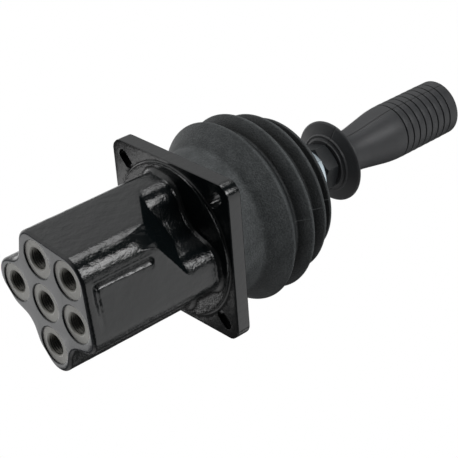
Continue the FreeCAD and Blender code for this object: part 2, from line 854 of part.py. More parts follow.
def joint_base():
    """Lower fork: stud into the casting, neck through the plate, disc that clamps it, two ears."""
    body = new_body("joint_base")
    item = new_sketch(body, "XZ_Plane", "joint_base_profile")
    disc_top = f"{plate_top} + base_disc_thick"
    stud_low = f"{collar_top} - base_stud_length"
    corners = [("0", stud_low), ("base_stud_radius", stud_low), ("base_stud_radius", collar_top)]
    corners += [("base_neck_radius", collar_top), ("base_neck_radius", plate_top)]
    corners += [("base_disc_radius", plate_top), ("base_disc_radius", disc_top), ("0", disc_top)]
    add_outline(item, corners)
    spin(body, item, "joint_base_turned")
    fork_ears(body, "YZ_Plane", "joint_base", f"{disc_top} - web_bury", "pivot_height")


def gimbal_block():
    """Cross piece between the two forks, drilled both ways for the pins."""
    body = new_body("gimbal_block")
    half = "(ear_inner - free_gap)"
    item = new_sketch(body, "XY_Plane", "block_outline", "pivot_height - block_height / 2")
    add_outline(item, [(half, half), (f"-{half}", half), (f"-{half}", f"-{half}"), (half, f"-{half}")])
    extrude(body, "Pad", item, "block_height", "block")
    for plane in ("XZ_Plane", "YZ_Plane"):
        hole = new_sketch(body, plane, f"block_hole_{plane[:2]}")
        add_circle(hole, "0", "pivot_height", "pin_radius + fit_gap")
        extrude(body, "Pocket", hole, f"2 * {half} + 2 * cut_over", f"block_bore_{plane[:2]}", both=True)


def base_pin():
    body = new_body("base_pin")
    item = new_sketch(body, "YZ_Plane", "base_pin_outline")
    add_circle(item, "0", "pivot_height", "pin_radius")
    extrude(body, "Pad", item, f"2 * {ear_outer}", "base_pin_shaft", both=True)


def yoke_pins():
    """Two short pins, one each side of the long one."""
    body = new_body("yoke_pins")
    body.AllowCompound = True
    for side, name in ((1, "front"), (-1, "rear")):
        start = "pin_radius + free_gap" if side > 0 else f"-{ear_outer}"
        item = new_sketch(body, "XZ_Plane", f"yoke_pin_{name}_outline", start)
        add_circle(item, "0", "pivot_height", "pin_radius")
        extrude(body, "Pad", item, f"{ear_outer} - pin_radius - free_gap", f"yoke_pin_{name}")


def lever_yoke():
    """Upper fork: two ears under a crown, and a round boss that carries the cam plate."""
    body = new_body("lever_yoke")
    crown = new_sketch(body, "XY_Plane", "crown_outline", f"{cam_low} - crown_thick")
    wide, deep = "ear_radius", ear_outer
    add_outline(crown, [(wide, deep), (f"-{wide}", deep), (f"-{wide}", f"-{deep}"), (wide, f"-{deep}")])
    extrude(body, "Pad", crown, "crown_thick", "crown")
    boss = new_sketch(body, "XY_Plane", "crown_boss_outline", cam_low)
    add_circle(boss, "0", "0", "crown_boss_radius")
    extrude(body, "Pad", boss, "crown_boss_height", "crown_boss")
    fork_ears(body, "XZ_Plane", "yoke", "pivot_height", f"{cam_low} - crown_thick + web_bury")
    bore = new_sketch(body, "XY_Plane", "rod_hole_outline", f"{cam_low} + crown_boss_height")
    add_circle(bore, "0", "0", "rod_radius + fit_gap")
    extrude(body, "Pocket", bore, "crown_boss_height", "rod_hole")


# Lever
def cam_plate():
    """Disc that pushes the plungers, thinned towards its rim."""
    rim = "cam_radius"
    turned_piece(
        "cam_plate",
        [
            ("crown_boss_radius + fit_gap", cam_low),
            (f"{rim} - cam_edge", cam_low),
            (rim, f"{cam_low} + cam_edge"),
            (rim, f"{cam_top} - cam_taper_drop"),
            (f"{rim} - cam_taper", cam_top),
            ("crown_boss_radius + fit_gap", cam_top),
        ],
    )


def hex_nut(label, flats, low, height, bore):
    """Hexagon nut with its corners turned off at both ends, turned as the tightened nuts stand."""
    body = new_body(label)
    item = new_sketch(body, "XY_Plane", f"{label}_outline", low)
    add_outline(item, hexagon(flats, NUT_TURN))
    add_circle(item, "0", "0", bore)
    extrude(body, "Pad", item, height, f"{label}_hexagon")
    high = f"({low} + {height})"
    inside = f"({flats}) * 0.49"
    outside = f"(({flats}) / sqrt(3) + cut_over)"
    for end, sign, name in ((f"({low})", "+", "low"), (high, "-", "high")):
        wedge = new_sketch(body, "XZ_Plane", f"{label}_{name}_chamfer_profile")
        far = f"{end} {sign} ({outside} - {inside}) / 2"
        add_outline(wedge, [(inside, end), (outside, end), (outside, far)])
        spin(body, wedge, f"{label}_{name}_chamfer", "Groove")


def lever_rod():
    turned_piece(
        "lever_rod",
        [
            ("0", f"{cam_low} + fit_gap"),
            ("rod_radius", f"{cam_low} + fit_gap"),
            ("rod_radius", "rod_top - rod_chamfer"),
            ("rod_radius - rod_chamfer", "rod_top"),
            ("0", "rod_top"),
        ],
    )


def neck_sleeve():
    """Flanged spacer on the rod that the bellows neck grips."""
    bore = "rod_radius + fit_gap"
    high = "lock_nut_low - fit_gap"
    turned_piece(
        "neck_sleeve",
        [
            (bore, "sleeve_foot"),
            ("sleeve_radius + sleeve_flange", "sleeve_foot"),
            ("sleeve_radius + sleeve_flange", "sleeve_foot + sleeve_flange_thick"),
            ("sleeve_radius", "sleeve_foot + sleeve_flange_thick"),
            ("sleeve_radius", high),
            (bore, high),
        ],
    )


def handle_insert():
    bore = "rod_radius + fit_gap"
    low = f"{handle_low} + fit_gap"
    outer = "insert_radius - fit_gap"
    turned_piece("handle_insert", [(bore, low), (outer, low), (outer, "rod_top"), (bore, "rod_top")])


def handle_grip():
    """Moulded handle: hub with a step, dished hand guard, slim neck and a ringed grip."""
    body = turned_piece(
        "handle_grip",
        [
            ("insert_radius", handle_low),
            ("hub_radius", handle_low),
            ("hub_radius", f"{handle_low} + hub_step"),
            ("hub_step_radius", f"{handle_low} + hub_step"),
            ("hub_step_radius", f"{handle_low} + 2 * hub_step"),
            ("guard_radius - guard_round", "guard_low"),
            ("guard_radius", "guard_low + guard_round"),
            ("guard_radius", "guard_low + guard_edge - guard_round"),
            ("guard_radius - guard_round", "guard_low + guard_edge"),
            ("neck_radius + neck_flare", "neck_foot - neck_flare_height"),
            ("neck_radius", "neck_foot"),
            ("neck_radius", "neck_top"),
            ("grip_radius", "grip_foot"),
            ("grip_radius", "handle_top"),
            ("0", "handle_top"),
            ("0", "rod_top + rod_end_gap"),
            ("insert_radius", "rod_top + rod_end_gap"),
        ],
    )

    def waist(edge):
        low = round_edge(edge, "neck_radius", "neck_top")
        return low or round_edge(edge, "grip_radius", "grip_foot")

    def end(edge):
        return round_edge(edge, "grip_radius", "handle_top")

    dress(body, "Fillet", waist, "handle_blend", "handle_waist")
    dress(body, "Fillet", end, "handle_end_round", "grip_end")
    item = new_sketch(body, "XZ_Plane", "ring_profile")
    inner, outer = "grip_radius - ring_depth", "grip_radius + cut_over"
    half = "ring_width / 2 * (ring_depth + cut_over) / ring_depth"
    add_outline(item, [(inner, "ring_low"), (outer, f"ring_low - {half}"), (outer, f"ring_low + {half}")])
    ring = spin(body, item, "ring", "Groove")
    rings = body.newObject("PartDesign::LinearPattern", "rings")
    rings.Originals = [ring]
    axis = next(f for f in body.Origin.OriginFeatures if f.Role == "Z_Axis")
    rings.Direction = (axis, [""])
    rings.setExpression("Length", ref("ring_pitch * (ring_count - 1)"))
    rings.setExpression("Occurrences", ref("ring_count"))
    body.Tip = rings


def bellows():
    """Closed rubber boot: clip-on foot, four folds of falling size and a neck on the sleeve."""
    wall = "bellows_wall"
    foot = "flange_thick + free_gap"
    foot_top = "flange_thick + foot_rise"
    top = "lock_nut_low - free_gap"
    neck_inner = "sleeve_radius + free_gap"
    inner_wall = "(collar_radius + free_gap)"
    outer_wall = f"({inner_wall} + {wall})"
    height = {"flare": f"({foot_top} + flare_rise)"}
    below = "flare"
    for name in ("crest1", "valley1", "crest2", "valley2", "crest3", "valley3", "crest4", "shoulder"):
        height[name] = f"({height[below]} + {name}_rise)"
        below = name
    neck_low = f"{height['shoulder']} + neck_rise"
    folds = [name for name in height if name != "flare"]
    outside = [(outer_wall, foot), (outer_wall, foot_top), (f"{outer_wall} + flare_reach", height["flare"])]
    outside += [(f"{name}_radius", height[name]) for name in folds]
    outside += [(f"{neck_inner} + {wall}", neck_low), (f"{neck_inner} + {wall}", top)]
    inside = [(neck_inner, top), (neck_inner, f"{neck_low} - {wall}")]
    inside += [("shoulder_radius - shoulder_inset", f"{height['shoulder']} - {wall}")]
    inside += [("crest4_radius - last_fold_inset", f"{height['crest4']} - last_fold_drop")]
    inside += [(f"{name}_radius - {wall} * fold_slant", height[name]) for name in reversed(folds[:-2])]
    inside += [(f"{inner_wall} + flare_reach", f"{height['flare']} + flare_lift")]
    bead = "collar_radius - bead_depth + free_gap"
    bead_floor = "flange_thick + bead_low + free_gap"
    bead_roof = "flange_thick + bead_low + bead_width - free_gap"
    inside += [(inner_wall, f"{foot_top} + foot_lift"), (inner_wall, bead_roof), (bead, bead_roof)]
    inside += [(bead, bead_floor), (inner_wall, bead_floor), (inner_wall, foot)]
    body = turned_piece("bellows", outside + inside)

    def on(kind):
        def test(edge):
            return any(round_edge(edge, f"{name}_radius", height[name]) for name in folds if kind in name)

        return test

    dress(body, "Fillet", on("crest"), "crest_round", "crest_rounds")
    dress(body, "Fillet", on("valley"), "valley_round", "valley_rounds")


valve_body()
retainer_plate()
retainer_screws()
bush_seals()
plunger_wipers()
for station in STATIONS:
    guide_bush(station)
    plunger(station)
    spring_seat(station)
    return_spring(station)
    metering_spring(station)
    spool(station)
joint_base()
gimbal_block()
base_pin()
yoke_pins()
lever_yoke()
cam_plate()
hex_nut("cam_nut", "cam_nut_flats", cam_top, "cam_nut_height", "crown_boss_radius + fit_gap")
lever_rod()
neck_sleeve()
hex_nut("lock_nut", "lock_nut_flats", "lock_nut_low", "lock_nut_height", "rod_radius + fit_gap")
handle_nut_low = f"{lock_nut_top} + fit_gap"
hex_nut("handle_nut", "handle_nut_flats", handle_nut_low, "handle_nut_height", "rod_radius + fit_gap")
handle_insert()
handle_grip()
bellows()
doc.recompute()

failed = [item.Label for item in doc.Objects if {"Invalid", "Error"} & set(item.State)]
if failed:
    raise RuntimeError("failed objects: " + ", ".join(failed))
pieces = [item for item in doc.Objects if item.isDerivedFrom("PartDesign::Body")]
pieces += [item for item in doc.Objects if item.TypeId == "Part::Feature"]
for piece in pieces:
    if piece.Shape.isNull() or not piece.Shape.isValid():
        raise RuntimeError(f"{piece.Label} has no valid shape")
os.makedirs("parts", exist_ok=True)
for piece in pieces:
    piece.Shape.exportStep(f"parts/{piece.Label}.step")
print(len(pieces), "pieces written")
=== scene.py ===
import json
import math

import bmesh
import bpy
from mathutils import Matrix, Vector, noise


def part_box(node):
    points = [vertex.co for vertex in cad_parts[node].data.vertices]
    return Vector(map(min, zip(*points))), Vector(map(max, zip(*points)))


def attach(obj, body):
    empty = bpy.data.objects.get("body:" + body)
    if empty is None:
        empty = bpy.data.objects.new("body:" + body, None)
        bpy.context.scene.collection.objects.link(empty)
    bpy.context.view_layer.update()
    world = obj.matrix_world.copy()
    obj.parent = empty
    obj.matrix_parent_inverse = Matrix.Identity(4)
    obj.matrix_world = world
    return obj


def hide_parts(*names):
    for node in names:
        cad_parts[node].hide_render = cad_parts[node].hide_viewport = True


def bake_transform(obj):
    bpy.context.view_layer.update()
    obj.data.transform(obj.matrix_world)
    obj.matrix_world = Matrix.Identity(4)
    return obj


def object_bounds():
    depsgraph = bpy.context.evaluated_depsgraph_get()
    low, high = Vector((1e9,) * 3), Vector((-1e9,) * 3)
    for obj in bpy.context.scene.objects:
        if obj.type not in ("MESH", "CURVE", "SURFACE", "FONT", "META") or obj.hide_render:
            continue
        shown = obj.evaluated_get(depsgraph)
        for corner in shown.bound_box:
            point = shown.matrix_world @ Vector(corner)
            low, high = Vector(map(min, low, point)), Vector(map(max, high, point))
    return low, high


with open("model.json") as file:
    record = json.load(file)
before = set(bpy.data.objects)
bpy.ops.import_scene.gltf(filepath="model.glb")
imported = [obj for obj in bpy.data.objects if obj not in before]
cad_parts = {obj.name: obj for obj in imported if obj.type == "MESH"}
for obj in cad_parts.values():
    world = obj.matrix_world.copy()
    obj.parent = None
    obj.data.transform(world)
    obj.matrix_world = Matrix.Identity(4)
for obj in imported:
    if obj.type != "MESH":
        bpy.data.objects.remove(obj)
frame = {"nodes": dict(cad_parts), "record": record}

# Hydraulic pilot-control joystick: a black enamelled valve casting, a rubber bellows over the cardan
# joint, two hexagon nuts and a moulded handle. Lengths in the dictionaries are millimetres unless said.
mm = 0.001
record = frame["record"]
cadNodes = frame["nodes"]
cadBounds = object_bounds()
portFace = round(cadBounds[0][2] / mm, 2)  # height of the milled face with the ports
mergeAt = 1e-6  # points closer than this are one, in metres
materials = {}
print("frame loaded,", len(cadNodes), "nodes")


# Small tools

def hexColour(code):
    # an sRGB hex value as the linear colour that shaders want
    parts = [int(code[i:i + 2], 16) / 255 for i in (1, 3, 5)]
    linear = [c / 12.92 if c <= 0.04045 else ((c + 0.055) / 1.055) ** 2.4 for c in parts]
    return (*linear, 1)


def setInputs(tree, node, inputs):
    # sets a node's sockets; a socket as a value becomes a link
    for key, value in inputs.items():
        if isinstance(value, bpy.types.NodeSocket):
            tree.links.new(value, node.inputs[key])
        else:
            node.inputs[key].default_value = value


def addNode(tree, kind, inputs=None, **settings):
    # adds a node and sets its properties, then its sockets
    node = tree.nodes.new(kind)
    for name, value in settings.items():
        setattr(node, name, value)
    setInputs(tree, node, inputs or {})
    return node


def perMetre(size):
    # texture scale whose features are about this many millimetres across
    return 1 / (size * mm)


def linkPiece(name, mesh):
    piece = bpy.data.objects.new(name, mesh)
    bpy.context.scene.collection.objects.link(piece)
    return piece


def meshFrom(name, points, edges, faces):
    mesh = bpy.data.meshes.new(name)
    mesh.from_pydata(points, edges, faces)
    mesh.update()
    return mesh


def applyModifiers(piece):
    # turns a piece and its modifiers into a plain mesh
    bpy.context.view_layer.update()
    depsgraph = bpy.context.evaluated_depsgraph_get()
    mesh = bpy.data.meshes.new_from_object(piece.evaluated_get(depsgraph))
    piece.modifiers.clear()
    piece.data = mesh


def applyModifier(piece, kind, **settings):
    # shapes a piece with one modifier
    modifier = piece.modifiers.new(kind.lower(), kind)
    for name, value in settings.items():
        setattr(modifier, name, value)
    applyModifiers(piece)


def tidyMesh(piece, outward=True):
    # closes seams and poles, and points the faces out
    work = bmesh.new()
    work.from_mesh(piece.data)
    bmesh.ops.remove_doubles(work, verts=work.verts, dist=mergeAt)
    bmesh.ops.dissolve_degenerate(work, edges=work.edges, dist=mergeAt / 100)
    if outward:
        bmesh.ops.recalc_face_normals(work, faces=work.faces)
    work.to_mesh(piece.data)
    work.free()


def shadeByAngle(piece, degrees=40):
    # smooth shading that keeps edges sharper than this angle
    piece.data.shade_smooth()
    work = bmesh.new()
    work.from_mesh(piece.data)
    for edge in work.edges:
        if len(edge.link_faces) == 2 and edge.calc_face_angle(0) > math.radians(degrees):
            edge.smooth = False
    work.to_mesh(piece.data)
    work.free()


def finishPiece(piece, body, material):
    # a finished piece's material, slot and body; a piece given no body keeps none
    piece.data.materials.clear()
    piece.data.materials.append(material)
    if body:
        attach(piece, body)


def roundedLine(corners, step, closed=False):
    # corners are (radius, height, round); each round becomes an arc with a point about every step
    # degrees, and takes up to nearly half of the runs beside it
    count, mostShare = len(corners), 0.48
    line = []
    for index, (radius, height, rounding) in enumerate(corners):
        here = Vector((radius, height))
        atEnd = not closed and index in (0, count - 1)
        if atEnd or rounding == 0:
            line.append(here)
            continue
        before = Vector(corners[index - 1][:2]) - here
        after = Vector(corners[(index + 1) % count][:2]) - here
        opening = before.angle(after)
        turn = math.pi - opening
        reach = rounding / math.tan(opening / 2)
        reach = min(reach, mostShare * before.length, mostShare * after.length)
        arcRadius = reach * math.tan(opening / 2)
        inward = (before.normalized() + after.normalized()).normalized()
        centre = here + inward * arcRadius / math.sin(opening / 2)
        start = here + before.normalized() * reach - centre
        side = 1 if before.cross(after) < 0 else -1
        steps = max(2, math.ceil(math.degrees(turn) / step))
        for part in range(steps + 1):
            line.append(centre + Matrix.Rotation(side * turn * part / steps, 2) @ start)
    return line


# Finishes

def newMaterial(name):
    # a material with a Principled shader; returns what a finish links to
    material = bpy.data.materials.new(name)
    material.use_nodes = True
    tree = material.node_tree
    tree.nodes.clear()
    shader = addNode(tree, "ShaderNodeBsdfPrincipled")
    addNode(tree, "ShaderNodeOutputMaterial", {"Surface": shader.outputs[0]})
    place = addNode(tree, "ShaderNodeTexCoord").outputs["Object"]
    materials[name] = material
    return tree, shader, place


def mottledPaint(tree, look, tintBy, roughBy):
    # a colour between the look's dark and light and a roughness, each following a pattern
    tint = addNode(tree, "ShaderNodeMix", {
        "Factor": tintBy, "A": hexColour(look["dark"]), "B": hexColour(look["light"])}, data_type="RGBA")
    rough = addNode(tree, "ShaderNodeMapRange", {
        "Value": roughBy, "To Min": look["rough"], "To Max": look["rough"] + look["roughSpan"]})
    return tint.outputs["Result"], rough.outputs[0]


def castEnamelFinish():
    # glossy black enamel on sand-cast iron: deep black with sharp reflections that the sand's lumps break
    # up; the milled port face is flat, so the paint there mirrors evenly, and its base colour is a lighter
    # grey that is partly the thin paint over the milling and partly painted reflection
    look = {
        "dark": "#05090a", "light": "#0c1012", "millFacePaintAndReflection": "#282c31", "rough": 0.1, "roughSpan": 0.1,
        "ior": 1.52, "sandGrain": 1.0, "sandDepth": 0.14, "lump": 3.4, "lumpDepth": 0.27, "stretch": 0.7,
        # the band over the port face in which the bumps come in, and in which the port face's lighter grey,
        # partly painted reflection, fades to the enamel
        "bandStart": 0.02, "bandEnd": 0.5,
        # share of the bumps on the flange's underside and on its sides, told apart by the normal's Z;
        # they are full from this far under the flange
        "underShare": 0.12, "underLevel": -0.9, "sideShare": 0.6, "sideLevel": -0.4, "flangeFade": 4,
    }
    tree, shader, place = newMaterial("castEnamel")
    stretched = addNode(tree, "ShaderNodeMapping", {"Vector": place, "Scale": (1, 1, look["stretch"])})
    sand = addNode(tree, "ShaderNodeTexNoise", {
        "Vector": place, "Scale": perMetre(look["sandGrain"]), "Detail": 3,
        "Roughness": 0.55}).outputs["Fac"]
    lumps = addNode(tree, "ShaderNodeTexNoise", {
        "Vector": stretched.outputs[0], "Scale": perMetre(look["lump"]), "Detail": 2}).outputs["Fac"]
    height = addNode(tree, "ShaderNodeSeparateXYZ", {"Vector": place}).outputs["Z"]
    low = portFace * mm
    offFace = addNode(tree, "ShaderNodeMapRange", {
        "Value": height, "From Min": low + look["bandStart"] * mm,
        "From Max": low + look["bandEnd"] * mm}).outputs[0]
    facing = addNode(tree, "ShaderNodeTexCoord").outputs["Normal"]
    level = addNode(tree, "ShaderNodeSeparateXYZ", {"Vector": facing}).outputs["Z"]
    steep = addNode(tree, "ShaderNodeMapRange", {
        "Value": level, "From Min": look["underLevel"], "From Max": look["sideLevel"],
        "To Min": look["underShare"], "To Max": look["sideShare"]})
    offFlange = addNode(tree, "ShaderNodeMapRange", {
        "Value": height, "From Min": 0, "From Max": -look["flangeFade"] * mm})
    rougher = addNode(tree, "ShaderNodeMath", {0: steep.outputs[0], 1: offFlange.outputs[0]},
                      operation="MAXIMUM")
    grainy = addNode(tree, "ShaderNodeMath", {0: offFace, 1: rougher.outputs[0]},
                     operation="MULTIPLY").outputs[0]
    paint, rough = mottledPaint(tree, look, sand, sand)
    # painted reflection: the port face's base colour is a lighter grey, partly thin paint and partly the
    # light that it mirrors
    tint = addNode(tree, "ShaderNodeMix", {
        "Factor": offFace, "A": hexColour(look["millFacePaintAndReflection"]), "B": paint}, data_type="RGBA")
    lumpBump = addNode(tree, "ShaderNodeBump", {
        "Height": lumps, "Distance": look["lumpDepth"] * mm, "Strength": grainy})
    sandBump = addNode(tree, "ShaderNodeBump", {
        "Height": sand, "Distance": look["sandDepth"] * mm, "Strength": grainy,
        "Normal": lumpBump.outputs[0]})
    setInputs(tree, shader, {"Base Color": tint.outputs["Result"], "Roughness": rough, "IOR": look["ior"],
                             "Normal": sandBump.outputs[0]})


def milledIronFinish():
    # bare milled cast iron: grey metal with fine rings left by the spot-facing cutter, and painted shade
    # that makes the bore darker
    look = {
        "dark": "#868683", "light": "#a9a8a4", "cloud": 2.5, "rough": 0.36, "roughSpan": 0.15,
        # the bore's colour is painted shade: darker inside this radius, fading out over this width
        "bore": "#75746f", "boreShadeRadius": 6.3, "boreShadeFade": 0.4,
        # the cutter's feed marks are about 0.1 mm apart; they are drawn coarser so that they show
        "ringPitch": 0.55, "ringDepth": 0.02,
    }
    tree, shader, place = newMaterial("milledIron")
    spot = addNode(tree, "ShaderNodeUVMap", uv_map="ringMap").outputs[0]
    distance = addNode(tree, "ShaderNodeSeparateXYZ", {"Vector": spot}).outputs["Y"]
    wave = addNode(tree, "ShaderNodeMath", {0: distance, 1: 2 * math.pi * perMetre(look["ringPitch"])},
                   operation="MULTIPLY")
    rings = addNode(tree, "ShaderNodeMath", {0: wave.outputs[0]}, operation="SINE")
    cloud = addNode(tree, "ShaderNodeTexNoise", {
        "Vector": place, "Scale": perMetre(look["cloud"]), "Detail": 4}).outputs["Fac"]
    iron, rough = mottledPaint(tree, look, cloud, cloud)
    # painted shade: inside the bore's radius the iron turns to the darker bore colour
    outside = addNode(tree, "ShaderNodeMapRange", {
        "Value": distance, "From Min": look["boreShadeRadius"] * mm,
        "From Max": (look["boreShadeRadius"] + look["boreShadeFade"]) * mm})
    tint = addNode(tree, "ShaderNodeMix", {
        "Factor": outside.outputs[0], "A": hexColour(look["bore"]), "B": iron}, data_type="RGBA")
    bump = addNode(tree, "ShaderNodeBump", {"Height": rings.outputs[0], "Distance": look["ringDepth"] * mm})
    setInputs(tree, shader, {"Base Color": tint.outputs["Result"], "Roughness": rough, "Metallic": 1,
                             "Normal": bump.outputs[0]})


plainLooks = {
    # bright zinc plate: pale metal with a cold blue cast and soft blotches
    "zincPlate": {"dark": "#9fb4bf", "light": "#dfe7ec", "rough": 0.2, "roughSpan": 0.12, "metallic": 1,
                  "gloss": 0.5, "grain": 3, "across": 1, "depth": 0},
    # black oxide on turned steel: nearly black, with a dull oily gloss
    "blackOxide": {"dark": "#0d1012", "light": "#171b1e", "rough": 0.42, "roughSpan": 0.15, "metallic": 0,
                   "gloss": 0.35, "grain": 0.8, "across": 1, "depth": 0.015},
    # turned steel of the pieces inside: mid grey and shiny, with fine tool marks round Z
    "turnedSteel": {"dark": "#8f9296", "light": "#b9bcc0", "rough": 0.25, "roughSpan": 0.15, "metallic": 1,
                    "gloss": 0.5, "grain": 0.5, "across": 0.15, "depth": 0.01},
    # turned bronze of the bushes and the insert: warm yellow brown, with the same marks
    "turnedBronze": {"dark": "#9a7a3e", "light": "#c29c58", "rough": 0.28, "roughSpan": 0.15, "metallic": 1,
                     "gloss": 0.5, "grain": 0.5, "across": 0.15, "depth": 0.01},
    # nitrile of the seals and wipers: even black with a soft sheen
    "sealRubber": {"dark": "#141414", "light": "#1f1f1f", "rough": 0.5, "roughSpan": 0.15, "metallic": 0,
                   "gloss": 0.5, "grain": 0.8, "across": 0.15, "depth": 0.01},
}


def plainFinish(name, look):
    # one fine noise, drawn out across Z where there are tool marks, moves colour, roughness and bump
    tree, shader, place = newMaterial(name)
    marks = addNode(tree, "ShaderNodeMapping", {
        "Vector": place, "Scale": (look["across"], look["across"], 1)})
    cloud = addNode(tree, "ShaderNodeTexNoise", {
        "Vector": marks.outputs[0], "Scale": perMetre(look["grain"]), "Detail": 3}).outputs["Fac"]
    tint, rough = mottledPaint(tree, look, cloud, cloud)
    setInputs(tree, shader, {"Base Color": tint, "Roughness": rough, "Metallic": look["metallic"],
                             "Specular IOR Level": look["gloss"]})
    if look["depth"]:
        bump = addNode(tree, "ShaderNodeBump", {"Height": cloud, "Distance": look["depth"] * mm})
        setInputs(tree, shader, {"Normal": bump.outputs[0]})


def partingLine(tree, place, look):
    # 1 on the line that the two halves of a mould leave up both sides, at the look's turn about Z
    turned = addNode(tree, "ShaderNodeMapping", {
        "Vector": place, "Rotation": (0, 0, math.radians(-look["seamTurn"]))})
    across = addNode(tree, "ShaderNodeSeparateXYZ", {"Vector": turned.outputs[0]}).outputs["Y"]
    distance = addNode(tree, "ShaderNodeMath", {0: across}, operation="ABSOLUTE")
    return addNode(tree, "ShaderNodeMapRange", {
        "Value": distance.outputs[0], "From Min": 0, "From Max": look["seamWidth"] * mm,
        "To Min": 1, "To Max": 0}).outputs[0]


def dressMoulding(tree, shader, look, sockets):
    # draws the parting line over a moulded piece's colour and presses it under its grain
    tint = addNode(tree, "ShaderNodeMix", {
        "Factor": sockets["seam"], "A": sockets["tint"], "B": hexColour(look["seamTint"])},
        data_type="RGBA")
    ridge = addNode(tree, "ShaderNodeBump", {
        "Height": sockets["seam"], "Distance": look["seamDepth"] * mm})
    grained = addNode(tree, "ShaderNodeBump", {
        "Height": sockets["grain"], "Distance": look["grainDepth"] * mm, "Normal": ridge.outputs[0]})
    setInputs(tree, shader, {"Base Color": tint.outputs["Result"], "Roughness": sockets["rough"],
                             "Specular IOR Level": look["gloss"], "Normal": grained.outputs[0]})


def bellowsRubberFinish():
    # moulded nitrile rubber: matt charcoal black with a faint bloom, a thin mould line on two sides and
    # painted shade in the valleys of the folds
    look = {
        "dark": "#373a3b", "light": "#525556", "rough": 0.55, "roughSpan": 0.14, "gloss": 0.2,
        "cloud": 9, "grain": 1.0, "grainDepth": 0.4, "bloomFrom": 0.12, "bloomTo": 0.4,
        # colour of the painted shade on a valley's floor, how far around it the folds make it darker, and
        # how open a place is where the painted shade ends and starts; below the foot's top nothing is
        # shaded
        "valley": "#040607", "valleyReach": 14, "shutShare": 0.69, "openShare": 0.96,
        "footTop": 26, "footFade": 14,
        "seamTurn": -9, "seamWidth": 0.35, "seamDepth": 0.12, "seamTint": "#4a4d4e",
        "seamFrom": 45, "seamFade": 2,
    }
    tree, shader, place = newMaterial("bellowsRubber")
    cloud = addNode(tree, "ShaderNodeTexNoise", {
        "Vector": place, "Scale": perMetre(look["cloud"]), "Detail": 4, "Roughness": 0.6}).outputs["Fac"]
    grain = addNode(tree, "ShaderNodeTexNoise", {
        "Vector": place, "Scale": perMetre(look["grain"]), "Detail": 2}).outputs["Fac"]
    speckle = addNode(tree, "ShaderNodeMath", {0: cloud, 1: grain}, operation="MULTIPLY")
    bloom = addNode(tree, "ShaderNodeMapRange", {
        "Value": speckle.outputs[0], "From Min": look["bloomFrom"], "From Max": look["bloomTo"]})
    rubber, rough = mottledPaint(tree, look, bloom.outputs[0], cloud)
    height = addNode(tree, "ShaderNodeSeparateXYZ", {"Vector": place}).outputs["Z"]
    # painted shade: an occlusion test darkens the rubber towards the valleys between the folds
    clear = addNode(tree, "ShaderNodeAmbientOcclusion", {"Distance": look["valleyReach"] * mm}, samples=8)
    openness = addNode(tree, "ShaderNodeMapRange", {
        "Value": clear.outputs["AO"], "From Min": look["shutShare"], "From Max": look["openShare"]})
    onFoot = addNode(tree, "ShaderNodeMapRange", {
        "Value": height, "From Min": look["footTop"] * mm,
        "From Max": (look["footTop"] + look["footFade"]) * mm, "To Min": 1, "To Max": 0})
    unshaded = addNode(tree, "ShaderNodeMath", {0: openness.outputs[0], 1: onFoot.outputs[0]},
                     operation="MAXIMUM")
    tint = addNode(tree, "ShaderNodeMix", {
        "Factor": unshaded.outputs[0], "A": hexColour(look["valley"]), "B": rubber}, data_type="RGBA")
    aboveFlare = addNode(tree, "ShaderNodeMapRange", {
        "Value": height, "From Min": look["seamFrom"] * mm,
        "From Max": (look["seamFrom"] + look["seamFade"]) * mm})
    seam = addNode(tree, "ShaderNodeMath", {0: partingLine(tree, place, look), 1: aboveFlare.outputs[0]},
                   operation="MULTIPLY")
    dressMoulding(tree, shader, look, {"tint": tint.outputs["Result"], "rough": rough, "grain": grain,
                                       "seam": seam.outputs[0]})


def handlePlasticFinish():
    # moulded polyamide: satin black with a spark-eroded grain and a fine parting line, pressed in
    look = {
        "dark": "#2d2e30", "light": "#393a3c", "rough": 0.42, "roughSpan": 0.1, "gloss": 0.4,
        "cloud": 12, "grain": 0.55, "grainDepth": 0.03,
        "seamTurn": -75, "seamWidth": 0.5, "seamDepth": -0.16, "seamTint": "#08090a",
    }
    tree, shader, place = newMaterial("handlePlastic")
    cloud = addNode(tree, "ShaderNodeTexNoise", {
        "Vector": place, "Scale": perMetre(look["cloud"]), "Detail": 3}).outputs["Fac"]
    grain = addNode(tree, "ShaderNodeTexNoise", {
        "Vector": place, "Scale": perMetre(look["grain"]), "Detail": 2}).outputs["Fac"]
    tint, rough = mottledPaint(tree, look, cloud, cloud)
    dressMoulding(tree, shader, look, {"tint": tint, "rough": rough, "grain": grain,
                                       "seam": partingLine(tree, place, look)})


castEnamelFinish()
milledIronFinish()
bellowsRubberFinish()
handlePlasticFinish()
for name, look in plainLooks.items():
    plainFinish(name, look)
print("finishes made:", len(materials))

slotFinish = {
    "cast_paint": "castEnamel", "steel": "turnedSteel", "dark_steel": "blackOxide", "zinc": "zincPlate",
    "bronze": "turnedBronze", "bellows_rubber": "bellowsRubber", "seal_rubber": "sealRubber",
    "handle_plastic": "handlePlastic",
}
for part in record["subparts"]:
    node = cadNodes[part["node"]]
    node.data.materials.clear()
    node.data.materials.append(materials[slotFinish[part["material_slot"]]])
print("finishes given to the carried-over nodes")


# Node trees

def newGeometryTree(name, sockets):
    # an empty geometry tree with a geometry input and output and these named inputs
    tree = bpy.data.node_groups.new(name, "GeometryNodeTree")
    tree.interface.new_socket("Geometry", in_out="INPUT", socket_type="NodeSocketGeometry")
    for label, kind in sockets.items():
        tree.interface.new_socket(label, in_out="INPUT", socket_type=kind)
    tree.interface.new_socket("Geometry", in_out="OUTPUT", socket_type="NodeSocketGeometry")
    return tree, addNode(tree, "NodeGroupInput").outputs


def runTree(piece, tree, values):
    # puts a tree on a piece, sets its inputs by their identifiers and makes the result a plain mesh
    modifier = piece.modifiers.new(tree.name, "NODES")
    modifier.node_group = tree
    for item in tree.interface.items_tree:
        if item.item_type == "SOCKET" and item.in_out == "INPUT" and item.name in values:
            modifier[item.identifier] = values[item.name]
    applyModifiers(piece)


